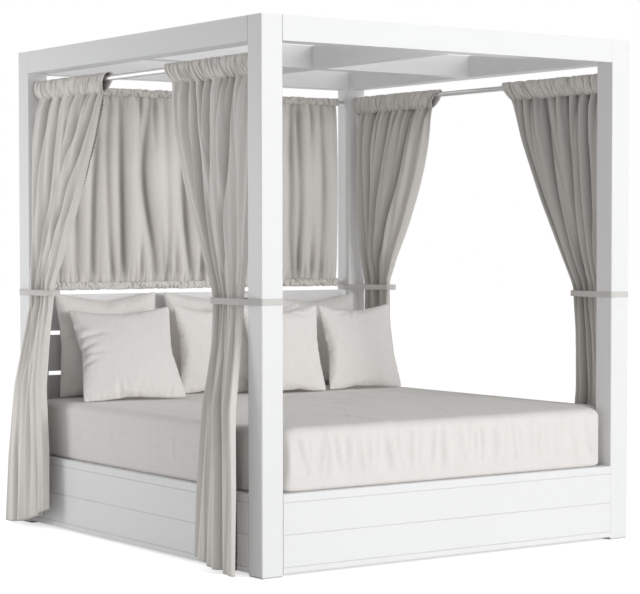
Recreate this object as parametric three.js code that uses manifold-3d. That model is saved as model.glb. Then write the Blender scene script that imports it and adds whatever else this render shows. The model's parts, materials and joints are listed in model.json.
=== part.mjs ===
// Outdoor daybed with a four-post canopy frame, millimetres, +Z up.
// +X runs along the foot end to the right, +Y from the foot end to the headboard.
// The origin is the floor point under the middle of the frame.
import * as THREE from 'three';
import { mergeVertices } from 'three/addons/utils/BufferGeometryUtils.js';
import Module from 'manifold-3d';

const wasm = await Module();
wasm.setup();

// Frame
const frameWidth = 1940;
const frameDepth = 2070;
const frameHeight = 2200;
const postSize = 100;
const tubeWall = 3;
const postCornerRadius = 5;
const beamHeight = 100;
const crossbeamWidth = 80;
const footPlateThickness = 6;
const footPlateSize = 92;
const footPlugHeight = 24;

// Clearances
const seatGap = 0.3;
const boreGap = 0.4;
const cutOverrun = 5;

// Base of four clad sides
const baseClearance = 12;
const trimHeight = 25;
const plankHeight = 128;
const plankThickness = 30;
const plankWall = 2.5;
const capRailHeight = 34;
const capRailDepth = 60;
const ledgeDepth = 30;
const ledgeHeight = 12;
const grooveDepth = 3;
const grooveHalfHeight = 2;

// Deck under the mattress
const slatCount = 13;
const slatWidth = 80;
const deckBarWidth = 40;
const deckBarOffset = 480;
const bearerWidth = 60;
const bearerHeight = 40;
const legSize = 50;

// Headboard
const boardCount = 4;
const boardHeight = 170;
const boardGap = 20;
const boardThickness = 30;
const boardSetback = 24;

// Rods
const curtainRodDiameter = 25;
const curtainRodDrop = 64;
const screenRodDiameter = 16;
const screenRodClearance = 1;
const rodInsert = 14;
const rodSides = 24;

// Mattress
const mattressThickness = 257;
const mattressSideInset = 25;
const mattressPostGap = 28;
const mattressBackGap = 6;
const mattressCornerRadius = 50;
const mattressTopRadius = 38;
const mattressBottomRadius = 18;
const mattressCrown = 5;
const mattressCrownRun = 170;

// Cushions: sizes, then how far the edges dip between the ears. The back cushions share the width
// of the mattress with gaps between them and at both ends.
const backCushion = { height: 505, thickness: 185, topDip: 42, sideDip: 14 };
const largeCushion = { width: 500, height: 500, thickness: 135, topDip: 30, sideDip: 22 };
const smallCushion = { width: 444, height: 440, thickness: 112, topDip: 24, sideDip: 18 };
const backCushionCount = 3;
const backCushionGap = 28;
const backCushionEndGap = 74;
const backCushionLeanDegrees = 6;
const cushionSwellPower = 0.55;
const cushionSteps = 9;

// Scattered cushions: how far the foot of each stands across from the middle and forward of the
// headboard, and how it is turned. The two outer ones are set in from the sides of the mattress,
// and the middle one stands a step to the left of the right one.
const cornerCushionInset = 286;
const cornerPlace = { forward: 474, yawDegrees: -15.5, leanDegrees: 32, rollDegrees: -1.7 };
const rearLeftPlace = { across: -90, forward: 285, yawDegrees: 0, leanDegrees: 9, rollDegrees: 0 };
const rearRightPlace = { across: 147, forward: 382, yawDegrees: 0, leanDegrees: 10, rollDegrees: 0 };
const middleCushionStep = 475;
const middlePlace = { forward: 506, yawDegrees: -1, leanDegrees: 12, rollDegrees: 0 };
const rightCushionInset = 300;
const rightPlace = { forward: 483, yawDegrees: -2, leanDegrees: 15, rollDegrees: 0 };

// Curtains gathered on their rods and tied back to the posts
const curtainFolds = 9;
const curtainPostGap = 4;
const headerSpread = 688;
const headerRise = 20;
const headerDrop = 64;
const headerFold = 3;
const pocketWall = 6;
const clothThickness = 12;
const foldDepthSwing = 0.28;
const foldRhythm = 2.3;
const foldEdgeShare = 0.35;
const tieClearance = 1.7;
const tieZone = 56;
const bundleStart = 24;
const bundleReach = 245;
const bundleOut = 44;
const bundleFold = 20;
const bundleThickness = 22;
const hemHeight = 6;

// Levels between header and tie: share of the drop, share of the spread, share of the curtain's
// billow, fold and offset outwards
const upperLevels = [
  { dropShare: 1, spreadShare: 0.86, billowShare: 0.1, fold: 6, out: 0 },
  { dropShare: 0.97, spreadShare: 0.83, billowShare: 0.3, fold: 20, out: 1 },
  { dropShare: 0.79, spreadShare: 0.68, billowShare: 0.8, fold: 25, out: 3 },
  { dropShare: 0.46, spreadShare: 0.37, billowShare: 1, fold: 27, out: 8 },
  { dropShare: 0.16, spreadShare: 0.1, billowShare: 0.6, fold: 27, out: 24 },
];

// Levels between tie and hem: share of the tie height, reach past the bundle, fold and offset
const lowerLevels = [
  { tieShare: 0.84, reach: -10, fold: 24, out: 56, flareShare: 0.08 },
  { tieShare: 0.6, reach: 8, fold: 26, out: 84, flareShare: 0.42 },
  { tieShare: 0.3, reach: 42, fold: 26, out: 86, flareShare: 0.83 },
];
const hemReach = 55;
const hemFold = 30;
const hemOut = 92;

// How far each curtain billows above its tie, how far its hem swings round the post and how high
// the hem's free edge rises
const curtainDrapes = {
  front_left: { billow: 75, flare: 35, hemRise: 50 },
  front_right: { billow: 15, flare: 80, hemRise: 60 },
  back_left: { billow: 40, flare: 160, hemRise: 96 },
  back_right: { billow: 65, flare: 40, hemRise: 60 },
};

// Tieback straps
const strapHeight = 26;
const strapThickness = 3;
const strapEndRadius = 24;
const strapTurns = 40;

// Screen stretched between two rods behind the headboard
const screenFolds = 13;
const screenPostGap = 12;
const screenPocket = 30;
const screenFold = 14;
const screenRuffle = 21;
const screenRuffleFold = 3;
const screenTaper = 16;

const deg = Math.PI / 180;
const half = 0.5;
const nearHalf = 0.49;
const cushionSpreadShare = 0.93;
const cushionSpreadEnd = Math.sin(half * 180 * deg * cushionSpreadShare);

// Finishes
const white = new THREE.MeshStandardMaterial({ color: 0xeeeeec, roughness: 0.45, metalness: 0.0 });
const rodMetal = new THREE.MeshStandardMaterial({ color: 0xb9b9b8, roughness: 0.35, metalness: 0.8 });
const glideGrey = new THREE.MeshStandardMaterial({ color: 0xbfbfbd, roughness: 0.6, metalness: 0.0 });
const deckGrey = new THREE.MeshStandardMaterial({ color: 0xc9c9c7, roughness: 0.5, metalness: 0.1 });
const mattressCloth = new THREE.MeshStandardMaterial({ color: 0xe9e6e2, roughness: 0.9, metalness: 0.0 });
const cushionCloth = new THREE.MeshStandardMaterial({ color: 0xe3dfdb, roughness: 0.9, metalness: 0.0 });
const curtainCloth = new THREE.MeshStandardMaterial({ color: 0xc8c3bd, roughness: 0.9, metalness: 0.0 });
const strapCloth = new THREE.MeshStandardMaterial({ color: 0xd3cfc9, roughness: 0.9, metalness: 0.0 });

const daybed = new THREE.Group();

// Adds one named piece; its geometry keeps only positions.
function addPiece(parent, name, geometry, material) {
  const mesh = new THREE.Mesh(geometry, material.clone());
  mesh.name = name;
  parent.add(mesh);
  return mesh;
}

// Shared-vertex copy of a geometry that carries positions only.
function positionsOnly(geometry) {
  const bare = geometry.clone();
  bare.deleteAttribute('normal');
  bare.deleteAttribute('uv');
  return mergeVertices(bare);
}

function toSolid(geometry) {
  const merged = positionsOnly(geometry);
  return new wasm.Manifold(new wasm.Mesh({
    numProp: 3,
    vertProperties: new Float32Array(merged.attributes.position.array),
    triVerts: new Uint32Array(merged.index.array),
  }));
}

function toGeometry(solid) {
  const mesh = solid.getMesh();
  const geometry = new THREE.BufferGeometry();
  geometry.setAttribute('position', new THREE.BufferAttribute(new Float32Array(mesh.vertProperties), 3));
  geometry.setIndex(new THREE.BufferAttribute(new Uint32Array(mesh.triVerts), 1));
  return geometry;
}

// The body less every cutter.
function cut(body, cutters) {
  let solid = toSolid(body);
  for (const cutter of cutters) solid = solid.subtract(toSolid(cutter));
  return toGeometry(solid);
}

// The bodies joined into one.
function join(bodies) {
  let solid = toSolid(bodies[0]);
  for (const body of bodies.slice(1)) solid = solid.add(toSolid(body));
  return toGeometry(solid);
}

// Box given by its lowest corner and its size.
function cornerBox(x, y, z, width, depth, height) {
  const box = new THREE.BoxGeometry(width, depth, height);
  box.translate(x + width * half, y + depth * half, z + height * half);
  return box;
}

// Rectangle path, also used as a hole.
function rectanglePath(path, x, y, width, height) {
  path.moveTo(x, y);
  path.lineTo(x + width, y);
  path.lineTo(x + width, y + height);
  path.lineTo(x, y + height);
  path.closePath();
  return path;
}

// Square with rounded corners, centred on the origin.
function roundedSquare(size, radius) {
  const reach = size * half;
  const shape = new THREE.Shape();
  shape.moveTo(-reach + radius, -reach);
  shape.lineTo(reach - radius, -reach);
  shape.absarc(reach - radius, -reach + radius, radius, -90 * deg, 0, false);
  shape.lineTo(reach, reach - radius);
  shape.absarc(reach - radius, reach - radius, radius, 0, 90 * deg, false);
  shape.lineTo(-reach + radius, reach);
  shape.absarc(-reach + radius, reach - radius, radius, 90 * deg, 180 * deg, false);
  shape.lineTo(-reach, -reach + radius);
  shape.absarc(-reach + radius, -reach + radius, radius, 180 * deg, 270 * deg, false);
  return shape;
}

// A section drawn in (inward, up) run along X, centred on the run.
function runAlongX(shape, length) {
  const run = new THREE.ExtrudeGeometry(shape, { depth: length, bevelEnabled: false, curveSegments: 3 });
  run.translate(0, 0, -length * half);
  const across = new THREE.Matrix4().makeBasis(
    new THREE.Vector3(0, 1, 0), new THREE.Vector3(0, 0, 1), new THREE.Vector3(1, 0, 0));
  return run.applyMatrix4(across);
}

// Round bar along Y, centred on the origin.
function barAlongY(diameter, length) {
  return new THREE.CylinderGeometry(diameter * half, diameter * half, length, rodSides);
}

// Flips a closed mesh whose faces point inwards, by the sign of its volume.
function facingOut(geometry) {
  const place = geometry.attributes.position;
  const index = geometry.index.array;
  const a = new THREE.Vector3();
  const b = new THREE.Vector3();
  const c = new THREE.Vector3();
  let volume = 0;
  for (let i = 0; i < index.length; i += 3) {
    a.fromBufferAttribute(place, index[i]);
    b.fromBufferAttribute(place, index[i + 1]);
    c.fromBufferAttribute(place, index[i + 2]);
    volume += a.dot(b.cross(c));
  }
  if (volume < 0) {
    for (let i = 0; i < index.length; i += 3) {
      const swapped = index[i + 1];
      index[i + 1] = index[i + 2];
      index[i + 2] = swapped;
    }
  }
  return geometry;
}

function indexed(coordinates, index) {
  const geometry = new THREE.BufferGeometry();
  geometry.setAttribute('position', new THREE.Float32BufferAttribute(coordinates, 3));
  geometry.setIndex(index);
  return geometry;
}

// Closed body through rings of equal point count, with its end faces given as index triples.
function loft(rings, capTriples) {
  const count = rings[0].length;
  const points = rings.flat();
  const triangles = [];
  for (let r = 0; r + 1 < rings.length; r += 1) {
    for (let i = 0; i < count; i += 1) {
      const next = (i + 1) % count;
      const low = r * count;
      const high = low + count;
      triangles.push(low + i, low + next, high + next, low + i, high + next, high + i);
    }
  }
  const last = (rings.length - 1) * count;
  for (const [a, b, c] of capTriples) {
    triangles.push(a, c, b);
    triangles.push(last + a, last + b, last + c);
  }
  return facingOut(indexed(points.flatMap((p) => [p.x, p.y, p.z]), triangles));
}

// Places that several pieces share
const halfWidth = frameWidth * half;
const halfDepth = frameDepth * half;
const postCentreX = halfWidth - postSize * half;
const postCentreY = halfDepth - postSize * half;
const roofUnderside = frameHeight - beamHeight;
const curtainRodHeight = roofUnderside - curtainRodDrop;
const lowerPlankBase = baseClearance + trimHeight;
const upperPlankBase = lowerPlankBase + plankHeight;
const capRailBase = upperPlankBase + plankHeight;
const capRailTop = capRailBase + capRailHeight;
const mattressBase = capRailTop + seatGap;
const mattressTop = mattressBase + mattressThickness;
const boardFront = halfDepth - postSize + boardSetback;
const mattressSide = halfWidth - mattressSideInset;
const mattressFront = halfDepth - mattressSideInset;
const mattressBack = boardFront - mattressBackGap;
const boardsTop = capRailTop + seatGap + boardCount * boardHeight + (boardCount - 1) * boardGap;
const tieHeight = boardsTop + tieClearance + strapHeight * half;
const screenLowerRodHeight = tieHeight + (strapHeight + screenRodDiameter) * half + screenRodClearance;
const clearWidth = frameWidth - 2 * postSize;
const clearDepth = frameDepth - 2 * postSize;

// Hollow post with a closed head, pierced where the rods enter.
function makePost(xSign, ySign) {
  const height = frameHeight - footPlateThickness - seatGap;
  const outside = new THREE.ExtrudeGeometry(
    roundedSquare(postSize, postCornerRadius), { depth: height, bevelEnabled: false, curveSegments: 3 });
  const inner = postSize - 2 * tubeWall;
  const inside = new THREE.BoxGeometry(inner, inner, height + cutOverrun);
  inside.translate(0, 0, (height + cutOverrun) * half - cutOverrun - tubeWall);
  const base = footPlateThickness + seatGap;
  const cutters = [inside, rodHoleAlongY(curtainRodDiameter, -ySign, curtainRodHeight - base)];
  if (ySign > 0) {
    for (const z of [curtainRodHeight, screenLowerRodHeight]) {
      const hole = rodHoleAlongY(screenRodDiameter, -ySign, 0);
      hole.rotateZ(-xSign * 90 * deg * ySign);
      hole.translate(0, 0, z - base);
      cutters.push(hole);
    }
  }
  return cut(outside, cutters);
}

// Cutter for a rod hole through the post wall that faces the given way along Y.
function rodHoleAlongY(diameter, ySign, z) {
  const hole = barAlongY(diameter + 2 * boreGap, tubeWall + 2 * cutOverrun);
  hole.translate(0, ySign * (postSize - tubeWall) * half, z);
  return hole;
}

// Plastic glide: a plate under the post with a plug up inside it.
function makeFoot() {
  const plugSize = postSize - 2 * tubeWall - 2 * seatGap;
  const plate = cornerBox(
    -footPlateSize * half, -footPlateSize * half, 0, footPlateSize, footPlateSize, footPlateThickness);
  const plug = cornerBox(
    -plugSize * half, -plugSize * half, footPlateThickness * half,
    plugSize, plugSize, footPlugHeight);
  return join([plate, plug]);
}

function addPosts() {
  for (const [depthName, ySign] of [['front', -1], ['back', 1]]) {
    for (const [widthName, xSign] of [['left', -1], ['right', 1]]) {
      const post = addPiece(daybed, `post_${depthName}_${widthName}`, makePost(xSign, ySign), white);
      post.position.set(xSign * postCentreX, ySign * postCentreY, footPlateThickness + seatGap);
      const foot = addPiece(daybed, `foot_${depthName}_${widthName}`, makeFoot(), glideGrey);
      foot.position.set(xSign * postCentreX, ySign * postCentreY, 0);
    }
  }
}

// Hollow rectangular section in (inward, up), from the outer face and the underside.
function hollowSection(width, height, wall) {
  const shape = rectanglePath(new THREE.Shape(), 0, 0, width, height);
  shape.holes.push(rectanglePath(new THREE.Path(), wall, wall, width - 2 * wall, height - 2 * wall));
  return shape;
}

// Ring of four roof beams between the posts, and the cross of three in the middle.
function addRoof() {
  for (const side of sides) {
    const beam = addPiece(
      side.group, `roof_beam_${side.name}`,
      runAlongX(hollowSection(postSize, beamHeight, tubeWall), side.run - 2 * seatGap), white);
    beam.position.set(0, -side.reach, roofUnderside);
  }
  const across = addPiece(
    daybed, 'crossbeam_wide',
    runAlongX(hollowSection(crossbeamWidth, beamHeight, tubeWall), clearWidth - 2 * seatGap), white);
  across.position.set(0, -crossbeamWidth * half, roofUnderside);
  const stubRun = (clearDepth - crossbeamWidth) * half - 2 * seatGap;
  const stubMiddle = (crossbeamWidth + clearDepth) * half * half;
  for (const [name, ySign] of [['front', -1], ['back', 1]]) {
    const stub = addPiece(
      daybed, `crossbeam_${name}`,
      runAlongX(hollowSection(crossbeamWidth, beamHeight, tubeWall), stubRun), white);
    stub.rotation.z = 90 * deg;
    stub.position.set(crossbeamWidth * half, ySign * stubMiddle, roofUnderside);
  }
}

// The four sides: a group turned so that its outer face looks along local -Y.
const sides = [
  { name: 'front', turn: 0, run: clearWidth, reach: halfDepth },
  { name: 'right', turn: 90 * deg, run: clearDepth, reach: halfWidth },
  { name: 'back', turn: 180 * deg, run: clearWidth, reach: halfDepth },
  { name: 'left', turn: -90 * deg, run: clearDepth, reach: halfWidth },
];
for (const side of sides) {
  side.group = new THREE.Group();
  side.group.rotation.z = side.turn;
  daybed.add(side.group);
}

// Hollow cladding plank whose outer edges are chamfered, so two of them meet in a V groove.
function plankSection(height) {
  const shape = new THREE.Shape();
  shape.moveTo(grooveDepth, 0);
  shape.lineTo(plankThickness, 0);
  shape.lineTo(plankThickness, height);
  shape.lineTo(grooveDepth, height);
  shape.lineTo(0, height - grooveHalfHeight);
  shape.lineTo(0, grooveHalfHeight);
  shape.closePath();
  const inside = rectanglePath(
    new THREE.Path(), plankWall, plankWall, plankThickness - 2 * plankWall, height - 2 * plankWall);
  shape.holes.push(inside);
  return shape;
}

// Cap rail: a hollow box with a ledge at its inner foot that carries the deck.
function capRailSection() {
  const height = capRailHeight;
  const shape = new THREE.Shape();
  shape.moveTo(grooveDepth, 0);
  shape.lineTo(capRailDepth + ledgeDepth, 0);
  shape.lineTo(capRailDepth + ledgeDepth, ledgeHeight);
  shape.lineTo(capRailDepth, ledgeHeight);
  shape.lineTo(capRailDepth, height);
  shape.lineTo(grooveHalfHeight, height);
  shape.lineTo(0, height - grooveHalfHeight);
  shape.lineTo(0, grooveHalfHeight);
  shape.closePath();
  shape.holes.push(rectanglePath(
    new THREE.Path(), tubeWall, tubeWall, capRailDepth - 2 * tubeWall, height - 2 * tubeWall));
  return shape;
}

function addBase() {
  const courses = [
    ['base_trim', baseClearance, plankSection(trimHeight - seatGap)],
    ['lower_plank', lowerPlankBase, plankSection(plankHeight - seatGap)],
    ['upper_plank', upperPlankBase, plankSection(plankHeight - seatGap)],
    ['cap_rail', capRailBase, capRailSection()],
  ];
  for (const side of sides) {
    for (const [name, z, section] of courses) {
      const piece = addPiece(
        side.group, `${name}_${side.name}`, runAlongX(section, side.run - 2 * seatGap), white);
      piece.position.set(0, -side.reach, z);
    }
  }
}

// Welded deck: slats across the bed on three bars, the middle one over the bearer.
function addDeck() {
  const slatLength = frameWidth - 2 * capRailDepth - 2 * seatGap;
  const slatBase = capRailBase + ledgeHeight + seatGap;
  const slatHeight = capRailTop - slatBase;
  const deckRun = clearDepth - 2 * seatGap;
  const pitch = (deckRun - slatWidth) / (slatCount - 1);
  const parts = [];
  for (const x of [-deckBarOffset, 0, deckBarOffset]) {
    parts.push(cornerBox(
      x - deckBarWidth * half, -deckRun * half, capRailBase,
      deckBarWidth, deckRun, ledgeHeight + slatHeight * half));
  }
  for (let i = 0; i < slatCount; i += 1) {
    parts.push(cornerBox(
      -slatLength * half, -deckRun * half + i * pitch, slatBase, slatLength, slatWidth, slatHeight));
  }
  addPiece(daybed, 'slatted_deck', join(parts), deckGrey);

  const bearerLength = frameDepth - 2 * plankThickness - 2 * seatGap;
  const bearer = addPiece(
    daybed, 'deck_bearer', runAlongX(hollowSection(bearerWidth, bearerHeight, tubeWall), bearerLength), deckGrey);
  bearer.rotation.z = 90 * deg;
  bearer.position.set(bearerWidth * half, 0, capRailBase - bearerHeight - seatGap);
  const legHeight = capRailBase - bearerHeight - 2 * seatGap;
  addPiece(
    daybed, 'centre_leg', cornerBox(-legSize * half, -legSize * half, 0, legSize, legSize, legHeight), deckGrey);
}

// Boards of the headboard between the back posts, with open gaps.
function addHeadboard() {
  for (let i = 0; i < boardCount; i += 1) {
    const board = addPiece(
      daybed, `headboard_plank_${i + 1}`,
      runAlongX(hollowSection(boardThickness, boardHeight, plankWall), clearWidth - 2 * seatGap), white);
    board.position.set(0, boardFront, capRailTop + seatGap + i * (boardHeight + boardGap));
  }
}

// Rods whose ends stand in holes in the post walls.
function addRods() {
  for (const [name, xSign] of [['left', -1], ['right', 1]]) {
    const rod = addPiece(
      daybed, `curtain_rod_${name}`, barAlongY(curtainRodDiameter, clearDepth + 2 * rodInsert), rodMetal);
    rod.position.set(xSign * postCentreX, 0, curtainRodHeight);
  }
  for (const [name, z] of [['top', curtainRodHeight], ['bottom', screenLowerRodHeight]]) {
    const rod = addPiece(
      daybed, `screen_rod_${name}`, barAlongY(screenRodDiameter, clearWidth + 2 * rodInsert), rodMetal);
    rod.rotation.z = 90 * deg;
    rod.position.set(0, postCentreY, z);
  }
}

// Plan outline of the mattress drawn in by an inset: a rectangle notched round the four posts.
function mattressOutline(inset) {
  const side = mattressSide - inset;
  const front = -mattressFront + inset;
  const back = mattressBack - inset;
  const shoulderX = halfWidth - postSize - mattressPostGap - inset;
  const shoulderY = halfDepth - postSize - mattressPostGap - inset;
  const corners = [
    [side, -shoulderY], [side, shoulderY], [shoulderX, shoulderY], [shoulderX, back],
    [-shoulderX, back], [-shoulderX, shoulderY], [-side, shoulderY], [-side, -shoulderY],
    [-shoulderX, -shoulderY], [-shoulderX, front], [shoulderX, front], [shoulderX, -shoulderY],
  ];
  const points = [];
  const count = corners.length;
  for (let i = 0; i < count; i += 1) {
    const here = new THREE.Vector2(...corners[i]);
    const before = new THREE.Vector2(...corners[(i + count - 1) % count]).sub(here);
    const after = new THREE.Vector2(...corners[(i + 1) % count]).sub(here);
    const reach = Math.min(mattressCornerRadius, before.length() * nearHalf, after.length() * nearHalf);
    const inward = before.setLength(reach).add(here);
    const outward = after.setLength(reach).add(here);
    const bend = new THREE.QuadraticBezierCurve(inward, here, outward);
    points.push(...bend.getPoints(3));
  }
  return points;
}

// Mattress in a fitted cover: rounded foot and top edges and a slight crown.
function addMattress() {
  const rings = [];
  const addRing = (inset, z) => {
    rings.push(mattressOutline(inset).map((p) => new THREE.Vector3(p.x, p.y, z)));
  };
  const arcSteps = 3;
  for (let i = 0; i <= arcSteps; i += 1) {
    const turn = (i / arcSteps) * 90 * deg;
    addRing(mattressBottomRadius * (1 - Math.sin(turn)), mattressBase + mattressBottomRadius * (1 - Math.cos(turn)));
  }
  for (let i = 0; i <= arcSteps; i += 1) {
    const turn = (i / arcSteps) * 90 * deg;
    addRing(mattressTopRadius * (1 - Math.cos(turn)), mattressTop - mattressTopRadius * (1 - Math.sin(turn)));
  }
  addRing(mattressTopRadius + mattressCrownRun, mattressTop + mattressCrown);
  const caps = THREE.ShapeUtils.triangulateShape(mattressOutline(0), []);
  addPiece(daybed, 'mattress', loft(rings, caps), mattressCloth);
}

// Knife-edge cushion standing in XZ with its belly along Y and its lower ears at z = 0.
// The edges dip between the ears and both faces swell towards the middle.
function makeCushion({ width, height, thickness, topDip, sideDip }) {
  const points = [];
  const index = [];
  const known = new Map();
  const spread = (i) => Math.sin((i / cushionSteps - half) * 180 * deg * cushionSpreadShare) / cushionSpreadEnd;
  const vertex = (i, j, face) => {
    const edge = i === 0 || j === 0 || i === cushionSteps || j === cushionSteps;
    const key = `${i}_${j}_${edge ? 0 : face}`;
    if (known.has(key)) return known.get(key);
    const u = spread(i);
    const v = spread(j);
    const acrossShare = 1 - u * u;
    const upShare = 1 - v * v;
    const dip = v > 0 ? topDip : sideDip;
    const swell = edge ? 0 : (acrossShare * upShare) ** cushionSwellPower;
    known.set(key, points.length / 3);
    points.push(
      u * (width * half - sideDip * upShare),
      face * thickness * half * swell,
      height * half + v * (height * half - dip * acrossShare));
    return known.get(key);
  };
  for (const face of [-1, 1]) {
    for (let i = 0; i < cushionSteps; i += 1) {
      for (let j = 0; j < cushionSteps; j += 1) {
        const quad = [vertex(i, j, face), vertex(i + 1, j, face), vertex(i + 1, j + 1, face), vertex(i, j + 1, face)];
        const [a, b, c, d] = face < 0 ? quad : quad.reverse();
        index.push(a, b, c, a, c, d);
      }
    }
  }
  return facingOut(indexed(points, index));
}

// Height of the mattress cover over a place on it: the rounded edge, then the rise to the crown.
function coverHeight(x, y) {
  const inset = Math.min(mattressSide - Math.abs(x), mattressFront + y, mattressBack - y);
  if (inset < 0) return mattressBase;
  const edge = Math.max(0, mattressTopRadius - inset);
  const crownShare = Math.min(1, Math.max(0, inset - mattressTopRadius) / mattressCrownRun);
  const shoulder = Math.sqrt(mattressTopRadius ** 2 - edge ** 2) - mattressTopRadius;
  return mattressTop + shoulder + mattressCrown * crownShare;
}

// Adds a cushion turned by yaw, lean back and roll, and stands it on the mattress. A cushion with
// no place forward leans its back on the headboard.
function addCushion(name, size, place) {
  const cushion = addPiece(daybed, name, makeCushion(size), cushionCloth);
  cushion.rotation.set(
    -place.leanDegrees * deg, place.rollDegrees * deg, place.yawDegrees * deg, 'ZXY');
  const turned = cushion.geometry.clone().applyQuaternion(cushion.quaternion);
  turned.computeBoundingBox();
  const forward = place.forward ?? turned.boundingBox.max.y + seatGap;
  cushion.position.set(place.across, boardFront - forward, 0);
  const spot = new THREE.Vector3();
  const vertices = turned.attributes.position;
  let lift = 0;
  for (let i = 0; i < vertices.count; i += 1) {
    spot.fromBufferAttribute(vertices, i).add(cushion.position);
    lift = Math.max(lift, coverHeight(spot.x, spot.y) - spot.z);
  }
  cushion.position.z = lift + seatGap;
}

// Three back cushions against the headboard, then the scattered ones in front of them.
function addCushions() {
  const gaps = 2 * backCushionEndGap + (backCushionCount - 1) * backCushionGap;
  const width = (2 * mattressSide - gaps) / backCushionCount;
  for (const [name, step] of [['left', -1], ['middle', 0], ['right', 1]]) {
    addCushion(`back_cushion_${name}`, { ...backCushion, width }, {
      across: step * (width + backCushionGap),
      yawDegrees: 0,
      leanDegrees: backCushionLeanDegrees,
      rollDegrees: 0,
    });
  }
  addCushion('cushion_corner', largeCushion, { ...cornerPlace, across: cornerCushionInset - mattressSide });
  addCushion('cushion_rear_left', smallCushion, rearLeftPlace);
  addCushion('cushion_rear_right', smallCushion, rearRightPlace);
  const rightAcross = mattressSide - rightCushionInset;
  addCushion('cushion_middle', smallCushion, { ...middlePlace, across: rightAcross - middleCushionStep });
  addCushion('cushion_right', smallCushion, { ...rightPlace, across: rightAcross });
}

// Fold rhythm shared by all cloth: crests and troughs in turn, of uneven depth.
function foldAt(i) {
  const depthShare = 1 - foldDepthSwing * (1 + Math.sin(i * foldRhythm));
  return (i % 2 === 0 ? 1 : -1) * depthShare;
}

// One level of hanging cloth as a closed band of folds. The level gives where the band starts and
// ends, its offset outwards, its fold depth, its thickness, its height and the rise of its far end.
function clothRing(level, folds) {
  const outer = [];
  const inner = [];
  for (let i = 0; i <= folds * 2; i += 1) {
    const share = i / (folds * 2);
    const along = level.start + (level.end - level.start) * share;
    const swell = foldEdgeShare + (1 - foldEdgeShare) * Math.sqrt(Math.max(0, Math.sin(share * 180 * deg)));
    const centre = level.out + level.fold * swell * foldAt(i);
    const z = level.z + (level.rise ?? 0) * share * share;
    outer.push(new THREE.Vector3(along, centre + level.thick * half, z));
    inner.push(new THREE.Vector3(along, centre - level.thick * half, z));
  }
  return outer.concat(inner.reverse());
}

// End-face triangles of a band ring: quads between its outer and inner sides.
function bandCaps(folds) {
  const last = folds * 4 + 1;
  const triples = [];
  for (let i = 0; i < folds * 2; i += 1) {
    triples.push([i, i + 1, last - i - 1], [i, last - i - 1, last - i]);
  }
  return triples;
}

// Levels of a tied curtain from its rod pocket down to its hem, highest first.
function curtainLevels(drape) {
  const pocket = curtainRodDiameter + 2 * (boreGap + pocketWall);
  const headerTop = curtainRodHeight + headerRise;
  const headerFoot = curtainRodHeight - headerDrop;
  const tieTop = tieHeight + tieZone * half;
  const tieFoot = tieHeight - tieZone * half;
  const header = { start: curtainPostGap, end: headerSpread, out: 0, fold: headerFold, thick: pocket };
  const levels = [
    { ...header, z: headerTop, thick: clothThickness },
    { ...header, z: headerTop - pocketWall * half },
    { ...header, z: curtainRodHeight - curtainRodDiameter * half - pocketWall },
  ];
  for (const { dropShare, spreadShare, billowShare, fold, out } of upperLevels) {
    levels.push({
      z: tieTop + (headerFoot - tieTop) * dropShare,
      start: bundleStart + (curtainPostGap - bundleStart) * dropShare,
      end: bundleReach + (headerSpread - bundleReach) * spreadShare + drape.billow * billowShare,
      out,
      fold,
      thick: clothThickness,
    });
  }
  for (const z of [tieTop, tieFoot]) {
    levels.push({
      z, start: bundleStart, end: bundleReach, out: bundleOut, fold: bundleFold, thick: bundleThickness,
    });
  }
  for (const { tieShare, reach, fold, out, flareShare } of lowerLevels) {
    levels.push({
      z: tieHeight * tieShare,
      start: bundleStart - drape.flare * flareShare,
      end: bundleReach + reach,
      out,
      fold,
      thick: clothThickness,
    });
  }
  levels.push({
    z: hemHeight,
    start: bundleStart - drape.flare,
    end: bundleReach + hemReach,
    out: hemOut,
    fold: hemFold,
    thick: clothThickness,
    rise: drape.hemRise,
  });
  return levels;
}

// Each curtain is worked out in (along the rod from the post, outwards, up) and then placed.
function addCurtains() {
  for (const [depthName, ySign] of [['front', -1], ['back', 1]]) {
    for (const [widthName, xSign] of [['left', -1], ['right', 1]]) {
      const corner = `${depthName}_${widthName}`;
      const postFace = ySign * (halfDepth - postSize);
      const place = (p) => new THREE.Vector3(xSign * (postCentreX + p.y), postFace - ySign * p.x, p.z);
      const levels = curtainLevels(curtainDrapes[corner]);
      const rings = levels.map((level) => clothRing(level, curtainFolds).map(place));
      const bore = barAlongY(curtainRodDiameter + 2 * boreGap, clearDepth);
      bore.translate(xSign * postCentreX, 0, curtainRodHeight);
      addPiece(daybed, `curtain_${corner}`, cut(loft(rings, bandCaps(curtainFolds)), [bore]), curtainCloth);
      const sections = strapSections().map((section) => section.map(place));
      addPiece(daybed, `tieback_${corner}`, closedLoop(sections), strapCloth);
    }
  }
}

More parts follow.
